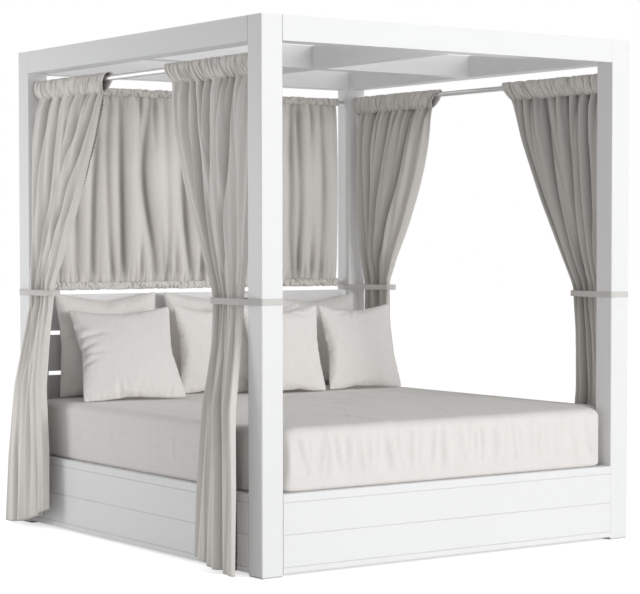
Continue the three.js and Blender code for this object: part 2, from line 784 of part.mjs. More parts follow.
// Sections of a webbing loop round post and bundle. In every direction the loop touches whichever
// of its round supports reaches farthest: the post corners and the two ends of the bundle.
function strapSections() {
  const postReach = postSize * half - postCornerRadius;
  const postRadius = postCornerRadius + seatGap;
  const bundleHalf = bundleFold + bundleThickness * half + seatGap - strapEndRadius;
  const far = bundleReach + 2 * seatGap - strapEndRadius + strapThickness;
  const supports = [
    [-postSize + postCornerRadius, -postReach, postRadius],
    [-postSize + postCornerRadius, postReach, postRadius],
    [-postCornerRadius, -postReach, postRadius],
    [-postCornerRadius, postReach, postRadius],
    [strapEndRadius, bundleOut + bundleHalf, strapEndRadius],
    [far, bundleOut - bundleHalf, strapEndRadius],
    [far, bundleOut + bundleHalf, strapEndRadius],
  ];
  const low = tieHeight - strapHeight * half;
  const sections = [];
  for (let i = 0; i < strapTurns; i += 1) {
    const angle = (i / strapTurns) * 360 * deg;
    const way = new THREE.Vector2(Math.cos(angle), Math.sin(angle));
    const reachOf = ([along, out, radius]) => way.x * along + way.y * out + radius;
    const [along, out, radius] = supports.reduce((best, next) => (reachOf(next) > reachOf(best) ? next : best));
    const at = (grow, z) => new THREE.Vector3(along + way.x * (radius + grow), out + way.y * (radius + grow), z);
    sections.push([
      at(0, low), at(strapThickness, low), at(strapThickness, low + strapHeight), at(0, low + strapHeight),
    ]);
  }
  return sections;
}

// Screen with a ruffled rod pocket at its head and foot, behind the headboard.
function addScreen() {
  const bottomRod = screenLowerRodHeight;
  const topRod = curtainRodHeight;
  const plain = {
    start: screenPostGap - clearWidth * half, end: clearWidth * half - screenPostGap,
    out: 0, fold: screenFold, thick: clothThickness,
  };
  const ruffle = { ...plain, fold: screenRuffleFold, thick: screenPocket };
  const levels = [
    { ...ruffle, z: topRod + screenRuffle, thick: clothThickness },
    { ...ruffle, z: topRod + screenRuffle - pocketWall * half },
    { ...ruffle, z: topRod - screenRuffle + pocketWall * half },
    { ...ruffle, z: topRod - screenRuffle, thick: clothThickness },
    { ...plain, z: topRod - screenRuffle - screenTaper },
    { ...plain, z: bottomRod + screenRuffle + screenTaper },
    { ...ruffle, z: bottomRod + screenRuffle, thick: clothThickness },
    { ...ruffle, z: bottomRod + screenRuffle - pocketWall * half },
    { ...ruffle, z: bottomRod - screenRuffle + pocketWall * half },
    { ...ruffle, z: bottomRod - screenRuffle, thick: clothThickness },
  ];
  const place = (p) => new THREE.Vector3(p.x, postCentreY + p.y, p.z);
  const rings = levels.map((level) => clothRing(level, screenFolds).map(place));
  const bores = [topRod, bottomRod].map((z) => {
    const bore = barAlongY(screenRodDiameter + 2 * boreGap, clearWidth);
    bore.rotateZ(90 * deg);
    bore.translate(0, postCentreY, z);
    return bore;
  });
  addPiece(daybed, 'back_screen', cut(loft(rings, bandCaps(screenFolds)), bores), curtainCloth);
}

// Closed band through four-cornered sections that return to the first.
function closedLoop(sections) {
  const count = sections[0].length;
  const triangles = [];
  for (let s = 0; s < sections.length; s += 1) {
    const here = s * count;
    const there = ((s + 1) % sections.length) * count;
    for (let i = 0; i < count; i += 1) {
      const next = (i + 1) % count;
      triangles.push(here + i, here + next, there + next, here + i, there + next, there + i);
    }
  }
  return facingOut(indexed(sections.flat().flatMap((p) => [p.x, p.y, p.z]), triangles));
}

addPosts();
addRoof();
addBase();
addDeck();
addHeadboard();
addRods();
addMattress();
addCushions();
addCurtains();
addScreen();

export default daybed;
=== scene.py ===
import json
import math

import bpy
import numpy as np
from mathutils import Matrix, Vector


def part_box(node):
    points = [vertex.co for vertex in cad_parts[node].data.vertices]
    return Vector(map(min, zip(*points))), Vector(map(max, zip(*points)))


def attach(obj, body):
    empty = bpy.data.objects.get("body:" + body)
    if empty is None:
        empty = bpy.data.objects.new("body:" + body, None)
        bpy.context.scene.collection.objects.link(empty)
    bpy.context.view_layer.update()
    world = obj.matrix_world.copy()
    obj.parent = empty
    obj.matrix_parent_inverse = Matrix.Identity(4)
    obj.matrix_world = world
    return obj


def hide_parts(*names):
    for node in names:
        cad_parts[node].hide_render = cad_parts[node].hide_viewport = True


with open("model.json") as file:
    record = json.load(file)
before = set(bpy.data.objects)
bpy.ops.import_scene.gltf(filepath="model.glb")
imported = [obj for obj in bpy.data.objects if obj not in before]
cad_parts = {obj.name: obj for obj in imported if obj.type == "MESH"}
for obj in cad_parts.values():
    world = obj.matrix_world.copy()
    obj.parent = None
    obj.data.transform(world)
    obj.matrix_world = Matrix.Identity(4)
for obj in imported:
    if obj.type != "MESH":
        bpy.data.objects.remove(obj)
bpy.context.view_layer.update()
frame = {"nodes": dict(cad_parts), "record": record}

scene = bpy.context.scene


# The view. The daybed stands on a white studio floor and is seen from in front of its left
# corner, with the eye 1.3 m up and the lens shifted a little, so that the posts stay upright.
camera_data = bpy.data.cameras.new("view")
camera_data.lens = 115.03
camera_data.sensor_width = 36
camera_data.shift_y = 0.0366
camera_data.clip_end = 200
camera = bpy.data.objects.new("view", camera_data)
camera.location = (-5.3344, -7.6571, 1.3243)
camera.rotation_euler = (math.radians(90 - 2.254), math.radians(0.045), math.radians(-35.02))
scene.collection.objects.link(camera)
scene.camera = camera
scene.view_settings.view_transform = "Standard"


class Value:
    """One number that changes over a surface. Arithmetic on it adds Math nodes to its tree."""

    def __init__(self, tree, socket):
        self.tree = tree
        self.socket = socket

    def of(self, operation):
        """A function of this number alone, such as its sine."""
        return self.math(operation, self)

    def math(self, operation, *numbers):
        node = self.tree.nodes.new("ShaderNodeMath")
        node.operation = operation
        for slot, number in zip(node.inputs, numbers):
            plug(self.tree, slot, number)
        return Value(self.tree, node.outputs[0])

    def __add__(self, other):
        return self.math("ADD", self, other)

    def __radd__(self, other):
        return self.math("ADD", other, self)

    def __rsub__(self, other):
        return self.math("SUBTRACT", other, self)

    def __mul__(self, other):
        return self.math("MULTIPLY", self, other)

    def __rmul__(self, other):
        return self.math("MULTIPLY", other, self)

    def __gt__(self, other):
        return self.math("GREATER_THAN", self, other)


def plug(tree, slot, what):
    """Links a Value to a socket, or sets the socket to a plain number, vector or colour."""
    if isinstance(what, Value):
        tree.links.new(what.socket, slot)
    else:
        slot.default_value = what


class Finish:
    """A material with one Principled shader and the nodes that feed it."""

    def __init__(self, name, **constants):
        self.material = bpy.data.materials.new(name)
        self.material.use_nodes = True
        self.tree = self.material.node_tree
        self.shader = self.tree.nodes["Principled BSDF"]
        for socket, number in constants.items():
            self.shader.inputs[socket.replace("_", " ")].default_value = number

    def node(self, kind, settings=(), sockets=(), output=0):
        """New node with its settings and sockets, and one of its outputs as a Value."""
        made = self.tree.nodes.new(kind)
        for name, setting in dict(settings).items():
            setattr(made, name, setting)
        for slot, what in dict(sockets).items():
            plug(self.tree, made.inputs[slot], what)
        return Value(self.tree, made.outputs[output])

    def feed(self, socket, what):
        plug(self.tree, self.shader.inputs[socket], what)

    def place(self):
        """Where a spot lies on the piece, in metres in the room."""
        return self.node("ShaderNodeTexCoord", output="Object")

    def sheet_place(self):
        """Where a spot lies on the flat cloth, in metres."""
        return self.node("ShaderNodeUVMap", {"uv_map": "cloth"})

    def parts(self, place):
        """The three coordinates of a place, each as a Value."""
        split = self.tree.nodes.new("ShaderNodeSeparateXYZ")
        plug(self.tree, split.inputs[0], place)
        return [Value(self.tree, socket) for socket in split.outputs]

    def blend(self, share, low, high):
        """Colour between low and high by share. The Mix node's colour sockets go by number."""
        return self.node("ShaderNodeMix", {"data_type": "RGBA"}, {0: share, 6: low, 7: high}, 2)

    def noise(self, place, scale, detail=3.0):
        return self.node(
            "ShaderNodeTexNoise", (), {"Vector": place, "Scale": scale, "Detail": detail})

    def stretch(self, place, scale):
        """Pattern coordinates squeezed by a scale for each axis."""
        return self.node("ShaderNodeMapping", (), {"Vector": place, "Scale": scale})

    def relief(self, height, depth, strength=1.0, under=None):
        """Bump of a height field whose full range is depth metres."""
        sockets = {"Height": height, "Distance": depth, "Strength": strength}
        if under is not None:
            sockets["Normal"] = under
        return self.node("ShaderNodeBump", (), sockets)


def make_piece(name, places, faces, finish, smooth=True, caps=(), uv=None, hollow=None):
    """Mesh object at the origin from vertex rows and quads, with optional triangles that close
    its ends, an optional UV per vertex and an optional share of painted shade per vertex."""
    mesh = bpy.data.meshes.new(name)
    mesh.from_pydata(places.reshape(-1, 3), [], faces.reshape(-1, 4).tolist() + list(caps))
    mesh.update()
    mesh.polygons.foreach_set("use_smooth", np.full(len(mesh.polygons), smooth))
    if uv is not None:
        corner = np.empty(len(mesh.loops), dtype=np.int32)
        mesh.loops.foreach_get("vertex_index", corner)
        layer = mesh.uv_layers.new(name="cloth")
        layer.data.foreach_set("uv", uv.reshape(-1, 2)[corner].ravel())
    # The hollow attribute holds the share of painted shade.
    if hollow is not None:
        depth = mesh.attributes.new("hollow", "FLOAT", "POINT")
        depth.data.foreach_set("value", hollow.ravel().astype(np.float32))
    mesh.materials.append(finish.material)
    piece = bpy.data.objects.new(name, mesh)
    scene.collection.objects.link(piece)
    return piece


def grid_faces(rows, columns, wrap=False):
    """Quads of a grid of rows by columns vertices; wrap joins the last column to the first."""
    index = np.arange(rows * columns).reshape(rows, columns)
    if wrap:
        index = np.concatenate([index, index[:, :1]], axis=1)
    return np.stack([index[:-1, :-1], index[:-1, 1:], index[1:, 1:], index[1:, :-1]], axis=-1)


def seen_share(tree):
    """1 where a ray shows the surface itself, to the camera, in a reflection or through glass,
    and 0 where it only carries light to the daybed."""
    path = tree.nodes.new("ShaderNodeLightPath")
    seen = Value(tree, path.outputs["Is Camera Ray"])
    for ray in ("Is Glossy Ray", "Is Transmission Ray"):
        seen = seen.math("MAXIMUM", seen, Value(tree, path.outputs[ray]))
    return seen


floor_reach = 40.0
floor_grey = (0.93, 0.93, 0.93, 1)
floor_glow = (0.62, 0.62, 0.62, 1)
floor_finish = Finish("studio_floor", Roughness=0.8, Base_Color=floor_grey, Emission_Strength=1.0)
floor_finish.feed(
    "Emission Color", floor_finish.blend(seen_share(floor_finish.tree), (0, 0, 0, 1), floor_glow))
floor_corners = floor_reach * np.array([[-1, -1, 0], [1, -1, 0], [1, 1, 0], [-1, 1, 0]])
floor = make_piece("studio_floor", floor_corners, np.arange(4), floor_finish, smooth=False)

room_light = 0.40
world = bpy.data.worlds.new("studio")
world.use_nodes = True
scene.world = world
sky = world.node_tree
backdrop = sky.nodes["Background"]
plug(sky, backdrop.inputs["Color"], (1, 1, 1, 1))
plug(sky, backdrop.inputs["Strength"], room_light + (1 - room_light) * seen_share(sky))


def softbox(name, place, aim, width, height, power):
    """Rectangular studio lamp at a place, turned to face the aim."""
    lamp = bpy.data.lights.new(name, "AREA")
    lamp.shape = "RECTANGLE"
    lamp.size = width
    lamp.size_y = height
    lamp.energy = power
    holder = bpy.data.objects.new(name, lamp)
    holder.location = place
    way = np.array(aim) - np.array(place)
    flat = math.hypot(way[0], way[1])
    holder.rotation_euler = (math.atan2(flat, -way[2]), 0, math.atan2(-way[0], way[1]))
    holder.visible_camera = False
    scene.collection.objects.link(holder)


softbox("key_lamp", (2.0, -11.8, 2.9), (0.1, -0.2, 0.9), width=3.6, height=3.0, power=690)
softbox("side_lamp", (-3.4, 2.5, 1.3), (-0.9, 0.2, 0.9), width=1.3, height=1.5, power=32)


# Frame. The posts, beams, cladding planks, rails and headboard boards are aluminium tube and
# profile, powder coated in matt white and bolted together; the coat has a faint orange peel.
def powder_coat(name, light, shade):
    """Matt paint: slow clouds, fine specks and a little dust near the floor, over orange peel."""
    coat = Finish(name, Specular_IOR_Level=0.45)
    place = coat.place()
    cloud = coat.noise(place, 1.7, 2.0)
    speck = coat.noise(place, 60.0, 4.0)
    height = coat.parts(place)[2]
    dust = coat.node("ShaderNodeMapRange", (), {
        "Value": height, "From Min": 0.0, "From Max": 0.09, "To Min": 0.35, "To Max": 0.0})
    worn = cloud * 0.55 + speck * 0.25 + dust
    coat.feed("Base Color", coat.blend(worn, light, shade))
    coat.feed("Roughness", 0.36 + cloud * 0.12 + speck * 0.06)
    peel = coat.noise(place, 700.0, 2.0)
    wave = coat.noise(place, 9.0, 1.0)
    coat.feed("Normal", coat.relief(peel, 0.00012, 0.5, coat.relief(wave, 0.0012, 0.35)))
    return coat


def finish_slot(slot, finish):
    """Gives every CAD node of a material slot the finish."""
    for part in frame["record"]["subparts"]:
        if part["material_slot"] == slot:
            for mesh_slot in frame["nodes"][part["node"]].material_slots:
                mesh_slot.material = finish.material


finish_slot("frame_paint", powder_coat(
    "frame_powder_coat", (0.845, 0.85, 0.855, 1), (0.80, 0.805, 0.81, 1)))


# Deck. Slats, bars, the bearer and the middle leg are under the mattress, in the same paint a
# shade greyer, and the posts stand on moulded glides.
finish_slot("deck_paint", powder_coat(
    "deck_powder_coat", (0.70, 0.70, 0.695, 1), (0.62, 0.62, 0.615, 1)))

glide_plastic = Finish("glide_plastic", Roughness=0.55)
glide_grain = glide_plastic.noise(glide_plastic.place(), 900.0)
glide_plastic.feed(
    "Base Color", glide_plastic.blend(glide_grain, (0.50, 0.50, 0.49, 1), (0.58, 0.58, 0.57, 1)))
glide_plastic.feed("Normal", glide_plastic.relief(glide_grain, 0.0002, 0.5))
finish_slot("foot_glide", glide_plastic)


# Rods. Round satin aluminium tube, drawn with fine lines along its length, ends in the posts.
rod_metal = Finish("satin_rod", Metallic=0.9)
rod_place = rod_metal.place()
rod_lines = rod_metal.noise(rod_metal.stretch(rod_place, (900.0, 6.0, 900.0)), 1.0)
rod_cloud = rod_metal.noise(rod_place, 12.0, 2.0)
rod_metal.feed(
    "Base Color", rod_metal.blend(rod_lines, (0.62, 0.62, 0.62, 1), (0.74, 0.74, 0.735, 1)))
rod_metal.feed("Roughness", 0.24 + rod_cloud * 0.16)
rod_metal.feed("Normal", rod_metal.relief(rod_lines, 0.00004, 0.4))
finish_slot("rod_metal", rod_metal)


# Mattress. One thick foam block, notched round the posts, in a fitted cover of close plain weave.
# The cover is a little loose: its front hangs in short upright puckers and its top is creased.
mattress_side_x = 0.945
mattress_front_y = -1.010
mattress_back_y = 0.953
notch_x = 0.842
notch_y = 0.907
mattress_base = 0.3273
mattress_top = 0.5843
mattress_crown = 0.005
corner_radius = 0.05
foot_radius = 0.018
shoulder_radius = 0.038
outline_points_per_metre = 106


def mattress_outline(inset):
    """Closed outline drawn in by inset: twelve corners, each rounded by a quadratic curve, joined
    by straight runs whose point counts don't depend on the inset."""
    s, f, b = mattress_side_x, mattress_front_y, mattress_back_y
    base = np.array([
        [s, -notch_y], [s, notch_y], [notch_x, notch_y], [notch_x, b], [-notch_x, b],
        [-notch_x, notch_y], [-s, notch_y], [-s, -notch_y], [-notch_x, -notch_y], [-notch_x, f],
        [notch_x, f], [notch_x, -notch_y]])
    side = np.sign(base)
    corner = base - side * inset
    before = np.roll(corner, 1, axis=0) - corner
    after = np.roll(corner, -1, axis=0) - corner
    run_before = np.linalg.norm(before, axis=1, keepdims=True)
    run_after = np.linalg.norm(after, axis=1, keepdims=True)
    reach = np.minimum(corner_radius, 0.49 * np.minimum(run_before, run_after))
    start = corner + before / run_before * reach
    end = corner + after / run_after * reach
    t = np.linspace(0, 1, 9)[None, :, None]
    bends = (
        (1 - t) ** 2 * start[:, None] + 2 * t * (1 - t) * corner[:, None] + t ** 2 * end[:, None])
    length = np.linalg.norm(np.roll(base, -1, axis=0) - base, axis=1)
    pieces = []
    for bend, leave, reached, run in zip(bends, end, np.roll(start, -1, axis=0), length):
        count = max(2, int(run * outline_points_per_metre))
        share = np.linspace(0, 1, count + 2)[1:-1, None]
        pieces += [bend, leave + (reached - leave) * share]
    return np.concatenate(pieces)


def ridges(across, along, centres, sizes, tilts, heights):
    """Sum of long low ridges: Gaussians in a turned frame, each with its own width and length."""
    total = np.zeros_like(across)
    for (cx, cy), (wide, long), tilt, height in zip(centres, sizes, tilts, heights):
        dx = across - cx
        dy = along - cy
        du = dx * math.cos(tilt) + dy * math.sin(tilt)
        dv = dy * math.cos(tilt) - dx * math.sin(tilt)
        total += height * np.exp(-(du / wide) ** 2 - (dv / long) ** 2)
    return total


def mattress_surface():
    """Rings of the outline carried up a profile of (inset, height, share of the full size): an
    underside, a rounded foot, an upright side, a rounded shoulder and a crowned top."""
    under = [(foot_radius, mattress_base, scale) for scale in np.linspace(0.01, 0.97, 6)]
    foot = [
        (foot_radius * (1 - math.sin(a)), mattress_base + foot_radius * (1 - math.cos(a)), 1.0)
        for a in np.linspace(0, math.pi / 2, 6)]
    side = [(0.0, z, 1.0) for z in np.linspace(
        mattress_base + foot_radius, mattress_top - shoulder_radius, 26)[1:-1]]
    shoulder = [
        (shoulder_radius * (1 - math.cos(a)), mattress_top - shoulder_radius * (1 - math.sin(a)),
         1.0) for a in np.linspace(0, math.pi / 2, 10)]
    shrink = 1 - np.concatenate([np.arange(1, 31) * 0.009, np.linspace(0.29, 0.997, 30)])
    rise = mattress_crown * np.clip((1 - shrink) / 0.16, 0, 1) ** 0.7
    top = [(shoulder_radius, mattress_top + lift, scale) for lift, scale in zip(rise, shrink)]
    rings = []
    for inset, z, scale in under + foot + side + shoulder + top:
        ring = mattress_outline(inset) * scale
        rings.append(np.column_stack([ring, np.full(len(ring), z)]))
    return np.array(rings)


# Puckers push the side out, most of all in front, and creases lift the top.
surface = mattress_surface()
rng = np.random.default_rng(11)
x, y, z = surface[..., 0], surface[..., 1], surface[..., 2]
outline = mattress_outline(0.0)
around = np.cumsum(np.linalg.norm(np.diff(outline, axis=0, prepend=outline[:1]), axis=1))
around = np.broadcast_to(around, x.shape)
side_share = np.clip((z - mattress_base - 0.02) / 0.05, 0, 1) * np.clip(
    (mattress_top - 0.012 - z) / 0.05, 0, 1)


def scattered(count, *ranges):
    """Random numbers between each pair of ends, one column for each pair."""
    return np.column_stack([rng.uniform(low, high, count) for low, high in ranges])


pucker_count = 150
slack = ridges(
    around, z,
    scattered(pucker_count, (0, around.max()), (mattress_base + 0.06, mattress_top - 0.07)),
    scattered(pucker_count, (0.007, 0.015), (0.035, 0.10)),
    rng.normal(0.0, 0.12, pucker_count), rng.uniform(0.0012, 0.0034, pucker_count))
front_run = (np.abs(y - mattress_front_y) < 0.03) & (np.abs(x) < notch_x)
front_count = 36
front_centres = np.column_stack([
    np.linspace(-0.80, 0.80, front_count) + rng.normal(0, 0.012, front_count),
    rng.uniform(mattress_base + 0.10, mattress_top - 0.09, front_count)])
front_slack = ridges(
    x, z, front_centres, scattered(front_count, (0.008, 0.015), (0.05, 0.12)),
    rng.normal(0.04, 0.11, front_count),
    rng.uniform(0.007, 0.016, front_count) * np.linspace(1.15, 0.70, front_count))
slack = np.where(front_run, front_slack + slack * 0.4, slack * 0.7)
step = np.roll(surface, -1, axis=1) - np.roll(surface, 1, axis=1)
outward = np.stack([step[..., 1], -step[..., 0], 0 * x], axis=-1)
outward /= np.linalg.norm(outward, axis=-1, keepdims=True) + 1e-9
surface += outward * (slack * side_share)[..., None]
crease_count = 46
creases = ridges(
    x, y, scattered(crease_count, (-0.55, 0.85), (-0.90, 0.25)),
    scattered(crease_count, (0.012, 0.022), (0.07, 0.30)),
    rng.normal(0.05, 0.22, crease_count), rng.uniform(0.0012, 0.0042, crease_count))
surface[..., 2] += creases * np.clip((z - mattress_top + 0.01) / 0.01, 0, 1)
ring_count, ring_points = surface.shape[:2]
mattress_places = np.concatenate([
    surface.reshape(-1, 3), [[0, 0, mattress_base], [0, 0, mattress_top + mattress_crown]]])
ring = np.arange(ring_points)
following = np.roll(ring, -1)
last = (ring_count - 1) * ring_points
bottom_pole = np.full(ring_points, ring_count * ring_points)
mattress_caps = np.concatenate([
    np.column_stack([bottom_pole, following, ring]),
    np.column_stack([bottom_pole + 1, last + ring, last + following])]).tolist()


def woven(name, light, dark, thread, on_sheet=True, slub=1.0, hollow=None, wrinkles=None):
    """Plain weave: warp and weft ridges that change places on a checkerboard, uneven in colour. It
    follows the cloth's own sheet, or the room where the cover has none. A hung cloth also has a
    dark colour for its hollows, which its hollow attribute mixes in as painted shade, and a slack
    cover has low wrinkles, given as how often they come along each axis."""
    cloth = Finish(name, Sheen_Weight=0.15, Sheen_Roughness=0.5, Specular_IOR_Level=0.25)
    if on_sheet:
        place = cloth.sheet_place()
        across, along = cloth.parts(place)[:2]
    else:
        place = cloth.place()
        x_part, y_part, along = cloth.parts(place)
        across = x_part + y_part
    half_turns = math.pi / thread
    warp = (across * half_turns).of("SINE")
    weft = (along * half_turns).of("SINE")
    over = (warp * weft) > 0.0
    ridge = over * warp.of("ABSOLUTE") + (1 - over) * weft.of("ABSOLUTE")
    uneven = cloth.noise(cloth.stretch(place, (105.0, 12.0, 105.0)), 1.0, 4.0)
    crossing = cloth.noise(cloth.stretch(place, (12.0, 105.0, 12.0)), 1.0, 4.0)
    tone = uneven * 0.5 * slub + crossing * 0.35 * slub + ridge * 0.15
    colour = cloth.blend(tone, dark, light)
    # Painted shade: the hollow attribute darkens the colour towards the hollow colour.
    if hollow is not None:
        depth = cloth.node("ShaderNodeAttribute", {"attribute_name": "hollow"}, (), 2)
        colour = cloth.blend(depth, colour, hollow)
    cloth.feed("Base Color", colour)
    cloth.feed("Roughness", 0.85 - ridge * 0.08)
    under = cloth.relief(cloth.noise(place, 26.0), 0.0012, 0.3)
    if wrinkles is not None:
        slack = cloth.noise(cloth.stretch(place, wrinkles), 1.0, 2.0)
        under = cloth.relief(slack, 0.014, 0.8, under)
    cloth.feed("Normal", cloth.relief(ridge, 0.00022, 0.55, under))
    return cloth


mattress_cloth = woven(
    "mattress_cover_cloth", (0.885, 0.859, 0.834, 1), (0.725, 0.702, 0.68, 1), 0.0011,
    on_sheet=False, wrinkles=(13.0, 2.6, 1.2))
mattress = make_piece(
    "mattress_cover", mattress_places, grid_faces(ring_count, ring_points, wrap=True),
    mattress_cloth, caps=mattress_caps)
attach(mattress, "mattress_set")
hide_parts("mattress")


# Cushions. Knife-edge covers sewn from two pieces of the same cloth and filled with fibre: the
# seam draws in between the ears and puckers, and both faces swell. Each is blown up by cloth
# simulation from its flat cover, then stood up on the mattress in its photographed place.
cushion_cloth = woven("cushion_cloth", (0.96, 0.935, 0.91, 1), (0.76, 0.737, 0.715, 1), 0.0012)
cover_count = 58


def cover_height(x, y):
    """Height of the mattress top over a place: a quarter round at the edge, then a rise to the
    crown in proportion to the distance from the edge."""
    crown_reach = 0.17
    inset = np.minimum(mattress_side_x - np.abs(x), y - mattress_front_y)
    inset = np.minimum(inset, mattress_back_y - y)
    edge = np.clip(shoulder_radius - inset, 0, shoulder_radius)
    shoulder = np.sqrt(shoulder_radius ** 2 - edge ** 2) - shoulder_radius
    rise = mattress_crown * np.clip((inset - shoulder_radius) / crown_reach, 0, 1)
    return np.where(inset > 0, mattress_top + shoulder + rise, mattress_base)


def flat_cover(width, height, count, seed):
    """Two sheets sewn at their edge: a grid over -1 to 1 each way for the front, and the same
    without its edge for the back, each lifted a little by a smooth bump and slow waves."""
    random = np.random.default_rng(seed)
    line = np.linspace(-1, 1, count + 1)
    u, v = np.meshgrid(line, line, indexing="ij")
    inner = (np.abs(u) < 0.999) & (np.abs(v) < 0.999)
    front = np.arange((count + 1) ** 2).reshape(count + 1, count + 1)
    back = front.copy()
    back[inner] = (count + 1) ** 2 + np.arange(inner.sum())
    places = []
    for face in (-1, 1):
        waves = np.zeros_like(u)
        for _ in range(14):
            turn, size = random.uniform(0, math.pi), random.uniform(3, 11)
            phase = random.uniform(0, 6.3)
            waves += np.sin((u * math.cos(turn) + v * math.sin(turn)) * size + phase)
        lift = face * (
            0.006 * (1 - u * u) * (1 - v * v) + 0.0004 * waves * (1 - u * u) * (1 - v * v))
        lift = np.where(inner, lift, 0)
        places.append(np.stack([u * width / 2, lift, v * height / 2], axis=-1))
    spots = np.concatenate([places[0].reshape(-1, 3), places[1][inner]])
    flat = np.stack([(u + 1) * width / 2, (v + 1) * height / 2], axis=-1)
    uv = np.concatenate([flat.reshape(-1, 2), flat[inner]])

    def quads(index):
        corners = [index[:-1, :-1], index[1:, :-1], index[1:, 1:], index[:-1, 1:]]
        return np.stack(corners, axis=-1).reshape(-1, 4)

    faces = np.concatenate([quads(front), quads(back)[:, ::-1]])
    return spots, faces, uv, (u, v, inner)


def fill_cover(spots, faces):
    """Blows the flat cover up with Blender's cloth under pressure and gives its vertices."""
    frames = 24
    mesh = bpy.data.meshes.new("flat_cover")
    mesh.from_pydata(spots, [], faces.tolist())
    mesh.update()
    cover = bpy.data.objects.new("flat_cover", mesh)
    scene.collection.objects.link(cover)
    cloth = cover.modifiers.new("filling", "CLOTH")
    linen = dict(
        quality=5, mass=0.25, tension_stiffness=25, compression_stiffness=25, shear_stiffness=8,
        bending_stiffness=0.3, tension_damping=8, compression_damping=8, shear_damping=5,
        air_damping=2, use_pressure=True, uniform_pressure_force=2.0)
    for setting, amount in linen.items():
        setattr(cloth.settings, setting, amount)
    cloth.settings.effector_weights.gravity = 0
    cloth.collision_settings.use_collision = False
    cloth.collision_settings.use_self_collision = False
    cloth.point_cache.frame_start = 1
    cloth.point_cache.frame_end = frames
    for moment in range(1, frames + 1):
        scene.frame_set(moment)
    shaped = cover.evaluated_get(bpy.context.evaluated_depsgraph_get())
    filled = np.empty(len(spots) * 3)
    shaped.data.vertices.foreach_get("co", filled)
    bpy.data.objects.remove(cover)
    bpy.data.meshes.remove(mesh)
    scene.frame_set(1)
    return filled.reshape(-1, 3)


def plain_fill(u, v, inner, width, height, thickness):
    """Plainly filled cover: edges dip by a parabola, faces swell by a power."""
    across, up = 1 - u * u, 1 - v * v
    sheets = []
    for face in (-1, 1):
        swell = face * thickness / 2 * np.where(inner, (np.clip(across * up, 0, 1)) ** 0.55, 0)
        sheets.append(np.stack([
            u * (width / 2 - 0.018 * up), swell, v * (height / 2 - 0.028 * across)], axis=-1))
    return np.concatenate([sheets[0].reshape(-1, 3), sheets[1][inner]])


def filled_form(width, height, thickness, seed, dents):
    """Filled cover, its belly evened out by half the plain fill, scaled to its finished width,
    height and thickness. Seams draw in by a parabola between rounded ears, except the bottom one,
    which settles down to the mattress, and have fine puckers that fade inwards. A dent presses
    the front in by a turned Gaussian: place, half width, half length, turn and depth."""
    loose = 1.02
    spots, faces, uv, (u, v, inner) = flat_cover(width * loose, height * loose, cover_count, seed)
    plain = plain_fill(u, v, inner, width, height, thickness)
    filled = fill_cover(spots, faces)
    low, high = filled.min(axis=0), filled.max(axis=0)
    filled = (filled - (low + high) / 2) * (np.array([width, thickness, height]) / (high - low))
    filled = 0.5 * filled + 0.5 * plain
    both_u = np.concatenate([u.ravel(), u[inner]])
    both_v = np.concatenate([v.ravel(), v[inner]])
    ear = np.abs(both_u * both_v) ** 10
    drawn = np.where(both_v > 0, 0.055, -0.045)
    filled[:, 0] *= (1 - 0.030 * (1 - both_v ** 2)) * (1 - 0.035 * ear)
    filled[:, 2] *= (1 - drawn * (1 - both_u ** 2)) * (1 - 0.035 * ear)
    random = np.random.default_rng(seed + 100)
    from_seam = (1 - np.maximum(np.abs(both_u), np.abs(both_v))) * width / 2
    run = np.where(np.abs(both_u) > np.abs(both_v), both_v, both_u + 3) * width / 2
    pucker = sum(
        np.sin(run * random.uniform(110, 330) + random.uniform(0, 6.3)) for _ in range(5)) / 5
    faced = np.sign(filled[:, 1])
    filled[:, 1] += faced * 0.0065 * pucker * np.exp(-((from_seam - 0.014) / 0.016) ** 2)
    front = np.clip(-filled[:, 1] / (thickness * 0.06), 0, 1)
    for across, up, wide, long, turn, depth in dents:
        dx, dz = filled[:, 0] - across * width / 2, filled[:, 2] - up * height / 2
        du = dx * math.cos(turn) + dz * math.sin(turn)
        dv = dz * math.cos(turn) - dx * math.sin(turn)
        filled[:, 1] += depth * front * np.exp(-(du / long) ** 2 - (dv / wide) ** 2)
    return filled, faces, uv


def turned(places, yaw, lean, roll):
    """Rotation by roll about Y, then lean back about X, then yaw about Z, in degrees."""
    a, b, c = math.radians(yaw), math.radians(-lean), math.radians(roll)
    about_z = np.array([[math.cos(a), -math.sin(a), 0], [math.sin(a), math.cos(a), 0], [0, 0, 1]])
    about_x = np.array([[1, 0, 0], [0, math.cos(b), -math.sin(b)], [0, math.sin(b), math.cos(b)]])
    about_y = np.array([[math.cos(c), 0, math.sin(c)], [0, 1, 0], [-math.sin(c), 0, math.cos(c)]])
    return places @ (about_z @ about_x @ about_y).T


def place_cushion(
        node, body, form, yaw, lean, roll=0, mirror=False, slump=1.0):
    """Turns a filled form, slumped to a share of its height, centres it on its CAD node's box and
    rests its foot on the mattress."""
    filled, faces, uv = form
    filled = filled * [1, 1, slump]
    if mirror:
        filled[:, 0] *= -1
        faces = faces[:, ::-1]
    stood = turned(filled, yaw, lean, roll)
    low, high = (np.array(corner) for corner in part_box(node))
    stood += (low + high) / 2 - (stood.min(axis=0) + stood.max(axis=0)) / 2
    stood[:, 2] += low[2] - stood[:, 2].min()
    bed = cover_height(stood[:, 0], stood[:, 1]) + 0.0004
    sunk = bed - stood[:, 2]
    pressed = 0.004
    settled = bed + pressed * np.exp(-(sunk + pressed) / 0.012)
    stood[:, 2] = np.where(sunk > -pressed, settled, stood[:, 2])
    piece = make_piece(f"{node}_cover", stood, faces, cushion_cloth, uv=uv)
    smoother = piece.modifiers.new("smooth", "SUBSURF")
    smoother.levels = smoother.render_levels = 1
    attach(piece, body)
    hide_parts(node)


